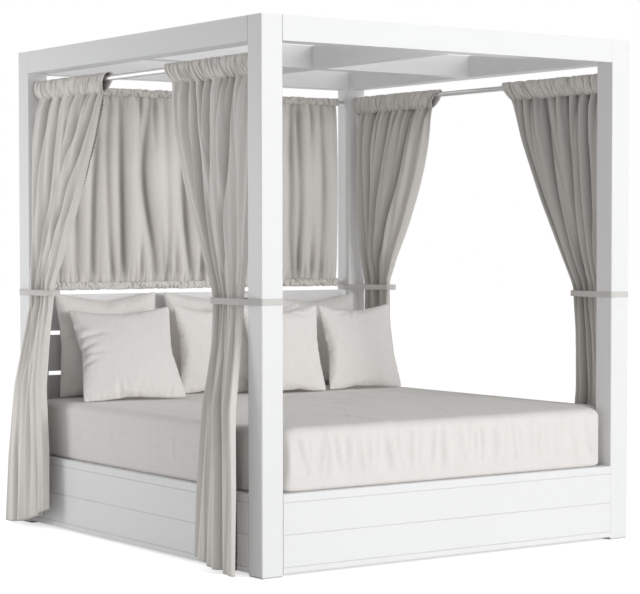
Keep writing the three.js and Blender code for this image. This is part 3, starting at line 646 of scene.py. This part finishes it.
back_form = filled_form(0.562, 0.505, 0.185, 3, [
    (0.18, 0.60, 0.012, 0.028, 0.9, 0.012), (0.32, 0.52, 0.013, 0.030, -0.7, 0.010),
    (-0.78, 0.10, 0.010, 0.040, 0.2, 0.007), (0.80, -0.2, 0.010, 0.036, -0.1, 0.007)])
for side, mirror, slump in (("left", False, 1.0), ("middle", True, 1.0), ("right", False, 0.945)):
    place_cushion(
        f"back_cushion_{side}", "mattress_set", back_form, yaw=0, lean=6,
        mirror=mirror, slump=slump)

corner_form = filled_form(0.500, 0.500, 0.135, 8, [
    (-0.70, 0.34, 0.011, 0.062, 0.05, 0.017), (-0.78, 0.12, 0.010, 0.036, 0.12, 0.020),
    (-0.72, -0.04, 0.009, 0.052, -0.05, 0.014), (-0.80, -0.22, 0.011, 0.034, 0.25, 0.018),
    (-0.84, 0.54, 0.011, 0.030, -0.5, 0.014), (-0.30, -0.84, 0.012, 0.036, 1.6, 0.014),
    (-0.16, -0.74, 0.010, 0.038, 1.5, 0.006), (0.06, -0.86, 0.011, 0.030, 1.2, 0.009),
    (0.28, -0.80, 0.010, 0.036, 1.7, 0.006), (0.66, -0.86, 0.010, 0.030, 1.3, 0.009),
    (0.30, 0.84, 0.011, 0.030, 1.7, 0.009)])
place_cushion(
    "cushion_corner", "corner_cushion", corner_form, yaw=-15.5, lean=32, roll=-1.7)
rear_form = filled_form(0.444, 0.440, 0.112, 5, [
    (0.62, -0.78, 0.012, 0.040, 1.2, 0.012), (0.80, -0.60, 0.010, 0.030, 0.6, 0.008)])
place_cushion("cushion_rear_left", "mattress_set", rear_form, yaw=0, lean=9)
place_cushion(
    "cushion_rear_right", "mattress_set", rear_form, yaw=0, lean=10, mirror=True)
scatter_form = filled_form(0.444, 0.440, 0.112, 21, [
    (0.30, -0.86, 0.013, 0.040, 1.5, 0.013), (0.12, -0.90, 0.010, 0.030, 1.2, 0.008),
    (-0.20, 0.80, 0.010, 0.040, 1.1, 0.011), (-0.42, 0.74, 0.010, 0.036, 0.2, 0.010),
    (-0.86, 0.20, 0.011, 0.030, 0.1, 0.009)])
place_cushion(
    "cushion_middle", "middle_cushion", scatter_form, yaw=-1, lean=12, mirror=True)
place_cushion("cushion_right", "right_cushion", scatter_form, yaw=-2, lean=15)


# Curtains. Light outdoor cloth with a deep ruffled pocket run onto each rod. Below the pocket the
# gathers open into broad folds, which a tieback draws to the post, and the hem hangs outside.
# Its hollow colour is painted shade for the creases, mixed in by each piece's hollow attribute.
curtain_cloth = woven(
    "curtain_cloth", (0.90, 0.87, 0.832, 1), (0.73, 0.703, 0.67, 1), 0.0009, slub=0.9,
    hollow=(0.15, 0.141, 0.129, 1))
post_face = 0.935
post_middle = 0.920
rod_height = 2.036
pocket_foot = 1.974
tie_level = 1.0821
cloth_rows = 150
cloth_columns = 300


def metres(*millimetres):
    return np.array(millimetres) / 1000


# At each of these heights: how far along the rod the free edge and the post's edge are, how far out
# the cloth hangs, how deep its folds and slots go, and the share of its billow and of its flare.
drop_heights = metres(2056, 1972, 1946, 1791, 1506, 1248, 1110, 1054, 909, 649, 325, 6)
free_edge = metres(688, 630, 613, 546, 409, 289, 245, 245, 235, 253, 287, 300)
post_edge = metres(4, 4, 5, 8, 15, 21, 24, 24, 24, 24, 24, 24)
hang_out = metres(0, 0, 1, 3, 8, 24, 44, 44, 56, 84, 86, 92)
fold_depth = metres(8, 16, 42, 64, 66, 56, 40, 40, 50, 62, 64, 66)
slot_depth = metres(4, 12, 20, 22, 22, 16, 9, 9, 16, 20, 20, 20)
slot_width = 0.013
billow_shares = [0, 0.1, 0.3, 0.8, 1, 0.6, 0, 0, 0, 0, 0, 0]
flare_shares = [0, 0, 0, 0, 0, 0, 0, 0, 0.08, 0.42, 0.83, 1]


def by_height(z, values, heights=drop_heights, soften=0.03):
    """Reading of values over falling heights, averaged over a few centimetres to have no kinks."""
    shifts = np.linspace(-soften, soften, 7)
    return np.mean([np.interp(z + shift, heights[::-1], values[::-1]) for shift in shifts], axis=0)


def crease_rows(count, unit, rows):
    """Creases as (width, places, strengths) in shares, with a place and a strength for each of
    count heights, from widths in thousandths of the cloth, places across it in parts of the unit
    and strengths in hundredths. A list that ends early keeps its last number."""

    def full(numbers):
        return np.pad(numbers, (0, count - len(numbers)), mode="edge")

    return [
        (width / 1000, full(places) / unit, full(strengths) / 100)
        for width, places, strengths in rows]


def creased(u, z, span, heights, creases, lean, opened=1.0):
    """How far each place has sunk into the creases, as a broad hollow and a narrow slot at its
    bottom, each 0 on a crest to 1 at the line. A crease runs through shares of the width at the
    heights, as wide as it has opened there. Its sides rise by a power of the distance, one side
    steeper than the other, and hollows combine as 1 - (1 - a)(1 - b). A slot is a Gaussian of set
    width in metres."""
    crest = np.ones(np.broadcast(u, z).shape)
    slot = np.zeros_like(crest)
    for width, shares, strengths in creases:
        apart = u - by_height(z, shares, heights, 0.09)
        strength = by_height(z, strengths, heights)
        slot += strength ** 2 * np.exp(-(apart * span / slot_width) ** 2)
        apart = np.abs(apart) / (width * opened * np.where(apart < 0, 1 - lean, 1 + lean))
        side = np.clip(1.02 - np.sqrt(apart ** 2 + 0.0016), 0, 1) ** 2.1
        crest = crest * (1 - strength * side)
    return 1 - crest, np.minimum(slot, 1.2)


def gathers(across, level, seed, count, reach, width):
    """Short pleats that start at a seam, each with its own place, depth and length: Gaussians
    across the cloth, in metres, that fade and narrow with the distance from the seam."""
    random = np.random.default_rng(seed)
    span = across.max()
    places = (np.arange(count) + 0.5 + random.uniform(-0.42, 0.42, count)) / count * span
    total = np.zeros(np.broadcast(across, level).shape)
    for place, depth, length, slant, wide in zip(
            places, random.uniform(0.3, 1, count), random.uniform(0.25, 1, count) * reach,
            random.uniform(-0.12, 0.12, count), random.uniform(0.75, 1.3, count) * width):
        fade = np.exp(-np.clip(level, 0, None) / length)
        spread = wide * (0.45 + 0.55 * fade)
        total += depth * fade * np.exp(-((across - place - slant * level) / spread) ** 2)
    return total


def tied_cloth(seed, billow, flare, hem_rise, creases, outwards, tucked, turn=0, painted_shade_base=0):
    """Sheet from the pocket's foot to the hem in (along the rod, outward, up). The tables by height
    give its edges, and the creases sink into it from crests that stand on its broad side. Each
    hollow is steep towards the front of the bed, and tucks in there under the crest beside it. The
    last panel may turn away from the crests towards its free edge. The second result is painted
    shade: deepest in the creases, slots and pleats, over an even base of painted shade."""
    u = np.linspace(0, 1, cloth_columns)[None, :]
    row = np.linspace(0, 1, cloth_rows)[:, None]
    row = row + 0.35 * row * (1 - row) * (row - 1)
    top = pocket_foot + 0.012
    level = top + (0.006 - top) * row
    z = level + hem_rise * u ** 2 * np.clip(1 - level / 0.9, 0, 1) ** 2
    start = by_height(level, post_edge) - flare * by_height(level, flare_shares)
    end = by_height(level, free_edge) + billow * by_height(level, billow_shares)
    sway = (
        0.10 * np.sin(2 * math.pi * (1.7 * u + seed) + 1.6 * level)
        + 0.08 * np.sin(2 * math.pi * (4.3 * u + 2 * seed) - 2.3 * level)
        + 0.05 * np.sin(2 * math.pi * (8.1 * u + 3 * seed) + 3.1 * level))
    hollow, slot = creased(
        u, level, end - start, crease_heights, crease_rows(len(crease_heights), 100, creases),
        -0.68 * tucked, by_height(level, crease_opening, crease_heights))
    edge = np.clip((1 - u) / 0.05, 0, 1) * np.clip(u / 0.03, 0, 1)
    sink = slot * edge * by_height(level, slot_depth)
    pleats = 0.028 * gathers(
        u * 0.66, top - level, int(seed * 1000), count=14, reach=0.19, width=0.0130)
    from_tie = np.abs(level - tie_level) - 0.026
    pleats = pleats + 0.010 * gathers(
        u * 0.25, from_tie, int(seed * 1000) + 1, count=11, reach=0.13, width=0.0052)
    offset = by_height(level, fold_depth) * (
        (0.50 - hollow) * (0.45 + 0.55 * edge) + sway * (1 - hollow))
    offset = offset - sink - pleats * (0.4 + 0.6 * edge)
    turn_foot = 1.12
    aloft = np.clip((level - turn_foot) / (top - turn_foot), 0, 1)
    offset = offset - turn * np.clip((u - 0.70) / 0.30, 0, 1) * 4 * aloft * (1 - aloft)
    along = start + (end - start) * u + tucked * (
        0.8 * sink + 0.4 * pleats + 0.35 * by_height(level, fold_depth) * hollow * edge)
    shape = (along, by_height(level, hang_out) + outwards * offset, z)
    # Painted shade in the creases, slots and pleats, over an even base of painted shade.
    shade = np.clip(painted_shade_base + 0.85 * hollow ** 1.15 + 0.4 * slot + 26 * pleats, 0, 0.97)
    shade = shade * (0.3 + 0.7 * edge)
    return np.stack(np.broadcast_arrays(*shape), axis=-1), shade


def pocket_band(seed, lower, rod, half_thick, foot_thick, ends, spacing, depth, points, around):
    """Ruffled tube of cloth round a rod in (along, outward, up): round above the rod and drawn in
    to its stitched foot. Its two ends along the rod are given at the foot and at the top. Short
    slanting Gaussian valleys, each deepest on one part of the way round, sink into it, and between
    them it swells. The second result is painted shade in its valleys and on its underside."""
    random = np.random.default_rng(seed)
    u = np.linspace(0, 1, points)[:, None]
    turn = np.linspace(0, 2 * math.pi, around, endpoint=False)[None, :]
    up = np.cos(turn)
    below = np.clip(-up, 0, 1)
    drop = rod - lower
    height = np.where(up > 0, half_thick * up, -drop * below ** 1.25)
    width = foot_thick + (half_thick - foot_thick) * (1 - below ** 4)
    side = np.sign(np.sin(turn)) * np.abs(np.sin(turn)) ** np.where(up > 0, 1.0, 0.62)
    share = (height + drop) / (drop + half_thick)
    sunk = np.zeros(np.broadcast(u, turn).shape)
    length = abs(ends[1][1] - ends[1][0])
    for outer in (-1, 1):
        count = int(length / spacing)
        facing = np.clip(0.5 + 1.6 * outer * np.sin(turn), 0, 1)
        for place in (np.arange(count) + random.uniform(0, 1, count)) / count:
            middle, long = random.uniform(-0.1, 1.0), random.uniform(0.25, 0.8)
            across = (u - place) * length - random.normal(0, 0.012) * (share - middle)
            bend = 0.003 * np.sin(random.uniform(3, 8) * share + random.uniform(0, 6))
            deep, wide = random.uniform(0.45, 1.15), random.uniform(0.0030, 0.0052)
            sunk += deep * facing * np.exp(
                -((across + bend) / wide) ** 2 - ((share - middle) / long) ** 2)
    swell = depth * (0.30 - np.minimum(sunk, 1.2))
    grow = np.clip(1 + swell / half_thick, 0.30, None)
    wave = np.interp(u, np.linspace(0, 1, 90), random.uniform(-1, 1, 90))
    ripple = 0.0032 * wave * (below ** 5 + 0.7 * np.clip(up, 0, 1) ** 2)
    start = ends[0][0] + (ends[1][0] - ends[0][0]) * share
    end = ends[0][1] + (ends[1][1] - ends[0][1]) * share
    above = np.where(up > 0, grow, 1)
    shape = (start + (end - start) * u, width * side * grow, rod + height * above + ripple)
    # Painted shade in the valleys and on the underside of the tube.
    shade = np.clip(0.55 * sunk ** 1.5 + 0.35 * below ** 8, 0, 0.8)
    return np.stack(np.broadcast_arrays(*shape), axis=-1), shade


def arc_uv(places):
    """Distances along and across the cloth in metres, by adding up the grid's own steps."""
    steps_across = np.linalg.norm(np.diff(places, axis=1, prepend=places[:, :1]), axis=2)
    across = np.cumsum(steps_across, axis=1)
    down = np.cumsum(np.linalg.norm(np.diff(places, axis=0, prepend=places[:1]), axis=2), axis=0)
    return np.stack([across.mean(axis=0)[None, :] + 0 * across, down], axis=-1)


def hung_piece(name, local, shade, room, flip, finish):
    """Piece of hung cloth 1.2 mm thick at its places in the room, with its flat cloth as its UV
    map. A sheet is open, and a pocket is a tube."""
    faces = grid_faces(*local.shape[:2], wrap=name.endswith("pocket"))
    piece = make_piece(
        name, room, faces[..., ::-1] if flip else faces, finish, uv=arc_uv(local), hollow=shade)
    wall = piece.modifiers.new("cloth_thickness", "SOLIDIFY")
    wall.thickness = 0.0012
    wall.offset = 0
    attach(piece, "frame")
    return piece


def corner_sides(corner):
    """Which way a corner lies along x and y, read from its name."""
    return -1 if "left" in corner else 1, -1 if "front" in corner else 1


def at_corner(corner, along, outward, up):
    """Places in the room from places along the rod, outwards from the post's middle, and up."""
    x_side, y_side = corner_sides(corner)
    return np.stack([x_side * (post_middle + outward), y_side * (post_face - along), up], axis=-1)


# How each curtain hangs, and its creases: the width of each, its places, counted from the edge at
# the post, and its strengths. The right pair, whose inner faces stand in shade, also get an even
# base of painted shade.
crease_heights = [1.97, 1.80, 1.60, 1.42, 1.27, 1.10, 0.85, 0.60, 0.30, 0.00]
crease_opening = [0.50, 0.72, 0.95, 1.10, 1.15, 1.10, 0.95, 0.85, 0.85, 0.85]
curtains = {
    "front_left": dict(seed=0.13, billow=0.075, flare=0.035, hem_rise=0.05, creases=[
        (56, [72, 70, 75, 79, 83, 86, 82, 78, 73, 70], [50, 85, 100, 90, 75, 90, 95, 85, 85, 95]),
        (58, [54, 53, 59, 66, 72, 74, 70, 66, 64, 62], [95, 90, 60, 45, 35, 60, 35, 15, 5, 0]),
        (52, [28, 27, 33, 41, 49, 61, 53, 46, 41, 38], [100, 100, 80, 65, 65, 85, 90, 85]),
        (38, [38, 40, 45, 50, 55, 50, 40], [70, 30, 5, 0, 5, 40, 5, 0]),
        (45, [81, 79, 82, 88, 92, 93, 92, 90], [75, 25, 10, 10, 20, 50, 30, 20, 15, 10]),
        (32, [62, 63, 63, 60], [65, 15, 0, 0, 0, 20, 0]),
        (60, [12, 12, 15, 20, 25, 30, 22, 20], [30, 10, 5, 5, 10, 50, 35, 25, 20, 15])]),
    "front_right": dict(seed=0.47, billow=0.015, flare=0.080, hem_rise=0.06, painted_shade_base=0.25, creases=[
        (51, [89, 91, 90, 89, 90, 88], [60, 60, 90, 100, 95, 80, 35, 25, 20]),
        (64, [65, 62, 66, 67, 70, 73, 74, 77, 80, 82], [85, 100, 85, 65, 60, 85]),
        (70, [39, 39, 40, 45, 52, 60, 56, 62, 64, 65], [100, 80, 80, 95, 100, 80, 75, 70, 65, 60]),
        (51, [28, 26, 28, 29, 33, 40, 36, 35], [75, 85, 70, 35, 30, 60, 40, 35, 30]),
        (58, [18, 16, 15, 16, 20, 22, 20, 18], [85, 85, 95, 85, 60, 60, 50, 45, 40]),
        (32, [77], [65, 15, 0]),
        (32, [52], [60, 20, 5, 0, 0, 20, 0])]),
    "back_left": dict(seed=0.71, billow=0.040, flare=0.160, hem_rise=0.096, creases=[
        (51, [19, 17, 12, 9, 6, 6, 15, 22, 28, 30], [85, 70, 35, 25, 25, 50, 55, 45, 40]),
        (70, [37, 37, 34, 30, 23, 15, 30, 42, 46, 48], [100, 100, 100, 80, 55, 60, 30, 20, 10]),
        (38, [57, 55, 52, 48, 44, 40], [75, 45, 10, 0, 0, 30, 0]),
        (77, [77, 69, 53, 44, 32, 28, 30], [85, 70, 50, 30, 25, 50, 10, 0]),
        (58, [90, 86, 76, 66, 55, 42, 45, 50, 55, 60], [85, 80, 90, 80, 75, 80, 35, 20, 15, 10]),
        (64, [96, 94, 90, 84, 75, 64, 67, 70, 75, 78], [20, 15, 15, 20, 30, 60, 45])]),
    "back_right": dict(
        seed=0.29, billow=0.020, flare=0.040, hem_rise=0.06, turn=0.065, painted_shade_base=0.13, creases=[
        (77, [28, 25, 29, 28, 25, 24, 22, 20], [95, 100, 100, 95, 70, 70, 60, 50, 45, 40]),
        (58, [46, 44, 41, 41, 42], [60, 60, 60, 45, 40, 70, 60, 55, 50]),
        (38, [56, 52, 50], [75, 25, 0, 0, 0, 20, 0]),
        (77, [74, 74, 71, 66, 57, 50, 55, 60, 65, 70], [100, 100, 100, 90, 75, 80, 60, 55, 50]),
        (32, [80], [70, 15, 0, 0, 0, 20, 10, 0]),
        (45, [12, 10, 12, 14, 14, 12, 10], [50, 40, 30, 30, 30, 60, 40, 35, 30])]),
}
pocket_ends = ((0.004, 0.634), (0.003, 0.690))
for corner, drape in curtains.items():
    x_side, y_side = corner_sides(corner)
    sheet = tied_cloth(**drape, outwards=-x_side, tucked=y_side)
    band = pocket_band(
        int(drape["seed"] * 100), pocket_foot, rod_height, half_thick=0.0225, foot_thick=0.006,
        ends=pocket_ends, spacing=0.0150, depth=0.0125, points=400, around=44)
    panel, pocket = (
        hung_piece(
            f"curtain_{corner}_{name}", local, shade, at_corner(corner, *np.moveaxis(local, -1, 0)),
            x_side != y_side, curtain_cloth)
        for name, (local, shade) in (("cloth", sheet), ("pocket", band)))
    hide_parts(f"curtain_{corner}")


# Back screen. The same cloth on two thin rods behind the headboard, ruffled on both and hanging
# between them in uneven folds that close to small gathers at each rod. It has been pulled a
# little to the left, away from the right post.
# Its hollow colour is painted shade for the creases, mixed in by each piece's hollow attribute.
screen_cloth = woven(
    "screen_cloth", (0.87, 0.84, 0.803, 1), (0.71, 0.682, 0.645, 1), 0.0009, slub=0.9,
    hollow=(0.26, 0.245, 0.225, 1))
screen_half = 0.858
screen_pulled = 0.026
screen_y = 0.985
screen_top_rod = 2.036
screen_low_rod = 1.1041
screen_rows = 105
screen_columns = 440
screen_heights = [2.00, 1.90, 1.76, 1.60, 1.40, 1.24, 1.14]
screen_creases = crease_rows(len(screen_heights), 1000, [
    (30, [35, 36, 35, 34, 36, 38, 40], [60, 50, 40, 40, 50, 60, 70]),
    (36, [95, 92, 90, 94, 96, 93, 92], [50, 60, 80, 80, 70, 60, 50]),
    (42, [170, 168, 162, 155, 150, 146, 144], [30, 50, 80, 90, 90, 90, 80]),
    (30, [201, 197, 193, 196, 200, 206, 211], [60, 60, 60, 60, 60, 80, 90]),
    (50, [238, 240, 242, 244, 246, 246, 247], [70, 80, 90, 100, 100, 100, 80]),
    (16, [303, 303, 303, 303, 304, 305, 304], [80, 40, 5, 0, 0, 60, 70]),
    (50, [335, 328, 317, 316, 335, 352, 354], [40, 70, 90, 100, 100, 80]),
    (18, [349, 349, 350, 350, 365, 380, 382], [80, 50, 10, 0, 0, 40, 50]),
    (32, [386, 389, 392, 396, 400, 396, 390], [60, 55, 40, 35, 50, 60, 70]),
    (18, [423], [50, 20, 0, 0, 10, 60, 70]),
    (44, [450, 448, 446, 450, 457, 468, 478], [50, 50, 70, 90, 100, 90, 80]),
    (30, [515, 512, 510, 512, 514, 512, 511], [60, 50, 40, 40, 50, 80, 90]),
    (46, [570, 572, 576, 578, 574, 570, 568], [50, 70, 90, 90, 90, 70, 60]),
    (34, [640, 638, 632, 630, 634, 640, 642], [70, 60, 50, 50, 60, 70, 80]),
    (48, [700, 702, 706, 708, 704, 700, 698], [50, 70, 90, 90, 80, 70, 60]),
    (34, [770, 768, 764, 762, 766, 770, 772], [70, 60, 60, 50, 60, 70, 80]),
    (36, [836, 832, 829, 832, 828, 832, 840], [60, 75, 80, 70, 65, 70, 80]),
    (26, [859, 859, 860, 864, 864, 856, 862], [80, 80, 70, 60, 70, 90]),
    (22, [906], [80, 60, 20, 10, 20, 70, 80]),
    (44, [945, 946, 950, 952, 950, 944, 942], [70, 60, 70, 75, 60, 60, 80])])


def screen_panel():
    """Sheet between the two pockets in (x, towards the bed, z): crests with creases sunk into them
    and short gathers at both rods. Its side edges bow out a little between the rods. The second
    result is painted shade in its creases and gathers."""
    u = np.linspace(0, 1, screen_columns)[None, :]
    row = np.linspace(0, 1, screen_rows)[:, None]
    top = screen_top_rod - 0.012
    foot = screen_low_rod + 0.012
    z = top + (foot - top) * row
    hollow, slot = creased(u, z, 2 * screen_half, screen_heights, screen_creases, 0.15)
    slack = np.clip(np.minimum(top - z, z - foot) / 0.06, 0, 1)
    edge = np.clip(np.minimum(u, 1 - u) / 0.02, 0.3, 1)
    sway = 0.10 * np.sin(2 * math.pi * (7.3 * u) + 2.1 * z)
    sway = sway + 0.08 * np.sin(2 * math.pi * 15.1 * u - 3.3 * z)
    sink = 0.012 * (0.3 + 0.7 * slack) * edge * slot
    offset = 0.038 * (0.30 + 0.70 * slack) * edge * (0.5 - hollow + sway * (1 - hollow)) - sink
    across = 2 * screen_half * u
    pleats = 0.015 * gathers(across, top - z, 61, count=62, reach=0.075, width=0.0062)
    pleats = pleats + 0.017 * gathers(across, z - foot, 62, count=66, reach=0.085, width=0.0062)
    offset = offset - pleats
    bow = 0.010 * np.sin(math.pi * row) - 0.012
    shape = ((screen_half + bow) * (2 * u - 1) + 0.6 * sink, offset, z)
    # Painted shade in the creases, slots and gathers, weaker close to the rods.
    shade = np.clip(0.62 * hollow ** 1.2 * (0.4 + 0.6 * slack) + 0.3 * slot + 26 * pleats, 0, 0.9)
    return np.stack(np.broadcast_arrays(*shape), axis=-1), shade


panel = screen_panel()
band_drop = 0.021
band_sizes = dict(
    half_thick=0.0155, foot_thick=0.010, ends=((-screen_half, screen_half),) * 2, spacing=0.011,
    depth=0.0072, points=640, around=30)
head = pocket_band(7, screen_top_rod - band_drop, screen_top_rod, **band_sizes)
foot_places, foot_shade = pocket_band(
    8, -screen_low_rod - band_drop, -screen_low_rod, **band_sizes)
foot = (foot_places * [1, 1, -1], foot_shade)
drawn_in = [1 - screen_pulled / (2 * screen_half), -1, 1]
screen, head_pocket, foot_pocket = (
    hung_piece(
        f"screen_{name}", local, shade, local * drawn_in + [-screen_pulled / 2, screen_y, 0],
        name == "foot_pocket", screen_cloth)
    for name, (local, shade) in (
        ("cloth", panel), ("head_pocket", head), ("foot_pocket", foot)))
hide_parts("back_screen")


# Tiebacks. Flat woven webbing in one loop round the post and the gathered cloth, lying flat on
# the post and closed on itself with a stitched overlap.
webbing = Finish("tieback_webbing", Sheen_Weight=0.1, Specular_IOR_Level=0.3)
web_place = webbing.sheet_place()
web_along, web_up = webbing.parts(web_place)[:2]
web_height = (web_along * 2600.0).of("SINE") * (web_up * 1800.0).of("SINE") * 0.5 + 0.5
web_tone = webbing.noise(webbing.stretch(web_place, (30.0, 200.0, 30.0)), 1.0)
webbing.feed("Base Color", webbing.blend(
    web_tone * 0.7 + web_height * 0.3, (0.60, 0.585, 0.56, 1), (0.72, 0.70, 0.675, 1)))
webbing.feed("Roughness", 0.82 - web_height * 0.08)
webbing.feed("Normal", webbing.relief(web_height, 0.0003, 0.6))
strap_low = tie_level - 0.013
strap_tall = 0.026
strap_points = 240


def loop_round_post():
    """Outline touching the post's rounded corners and the bundle's round ends from outside, as
    the farthest point of any of them in each of many directions, spaced evenly by arc length."""
    supports = np.array([
        [-0.095, -0.045, 0.0056], [-0.095, 0.045, 0.0056], [-0.005, -0.045, 0.0056],
        [-0.005, 0.045, 0.0056], [0.024, 0.0513, 0.024], [0.2246, 0.0367, 0.024],
        [0.2246, 0.0513, 0.024]])
    angle = np.linspace(0, 2 * math.pi, 1440, endpoint=False)
    way = np.column_stack([np.cos(angle), np.sin(angle)])
    reach = way @ supports[:, :2].T + supports[:, 2]
    best = supports[np.argmax(reach, axis=1)]
    spots = best[:, :2] + way * best[:, 2:]
    closed = np.concatenate([spots, spots[:1]])
    run = np.concatenate([[0], np.cumsum(np.linalg.norm(np.diff(closed, axis=0), axis=1))])
    even = np.linspace(0, run[-1], strap_points, endpoint=False)
    path = np.column_stack([np.interp(even, run, line) for line in closed.T])
    ahead = np.roll(path, -1, axis=0) - np.roll(path, 1, axis=0)
    outward = np.column_stack([ahead[:, 1], -ahead[:, 0]])
    outward /= np.linalg.norm(outward, axis=1, keepdims=True)
    return path, outward, even


strap_path, strap_outward, strap_run = loop_round_post()
section = np.array([
    [0.0002, 0.04], [0.0, 0.5], [0.0002, 0.96], [0.0008, 1.0], [0.0016, 1.0],
    [0.0021, 0.96], [0.0022, 0.5], [0.0021, 0.04], [0.0016, 0.0], [0.0008, 0.0]])
strap_faces = grid_faces(strap_points + 1, len(section), wrap=True) % (strap_points * len(section))
strap_uv = np.stack(
    np.broadcast_arrays(strap_run[:, None], section[None, :, 1] * strap_tall), axis=-1)
plan = strap_path[:, None, :] + strap_outward[:, None, :] * section[None, :, :1]
for corner, drape in curtains.items():
    x_side, y_side = corner_sides(corner)
    sway = 0.0006 * np.sin(9 * strap_run + 20 * drape["seed"])
    up = strap_low + section[None, :, 1] * strap_tall + sway[:, None]
    loop = at_corner(corner, plan[..., 0], plan[..., 1], up)
    faces = strap_faces[..., ::-1] if x_side == y_side else strap_faces
    strap = make_piece(f"tieback_{corner}_webbing", loop, faces, webbing, uv=strap_uv)
    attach(strap, "frame")
    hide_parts(f"tieback_{corner}")
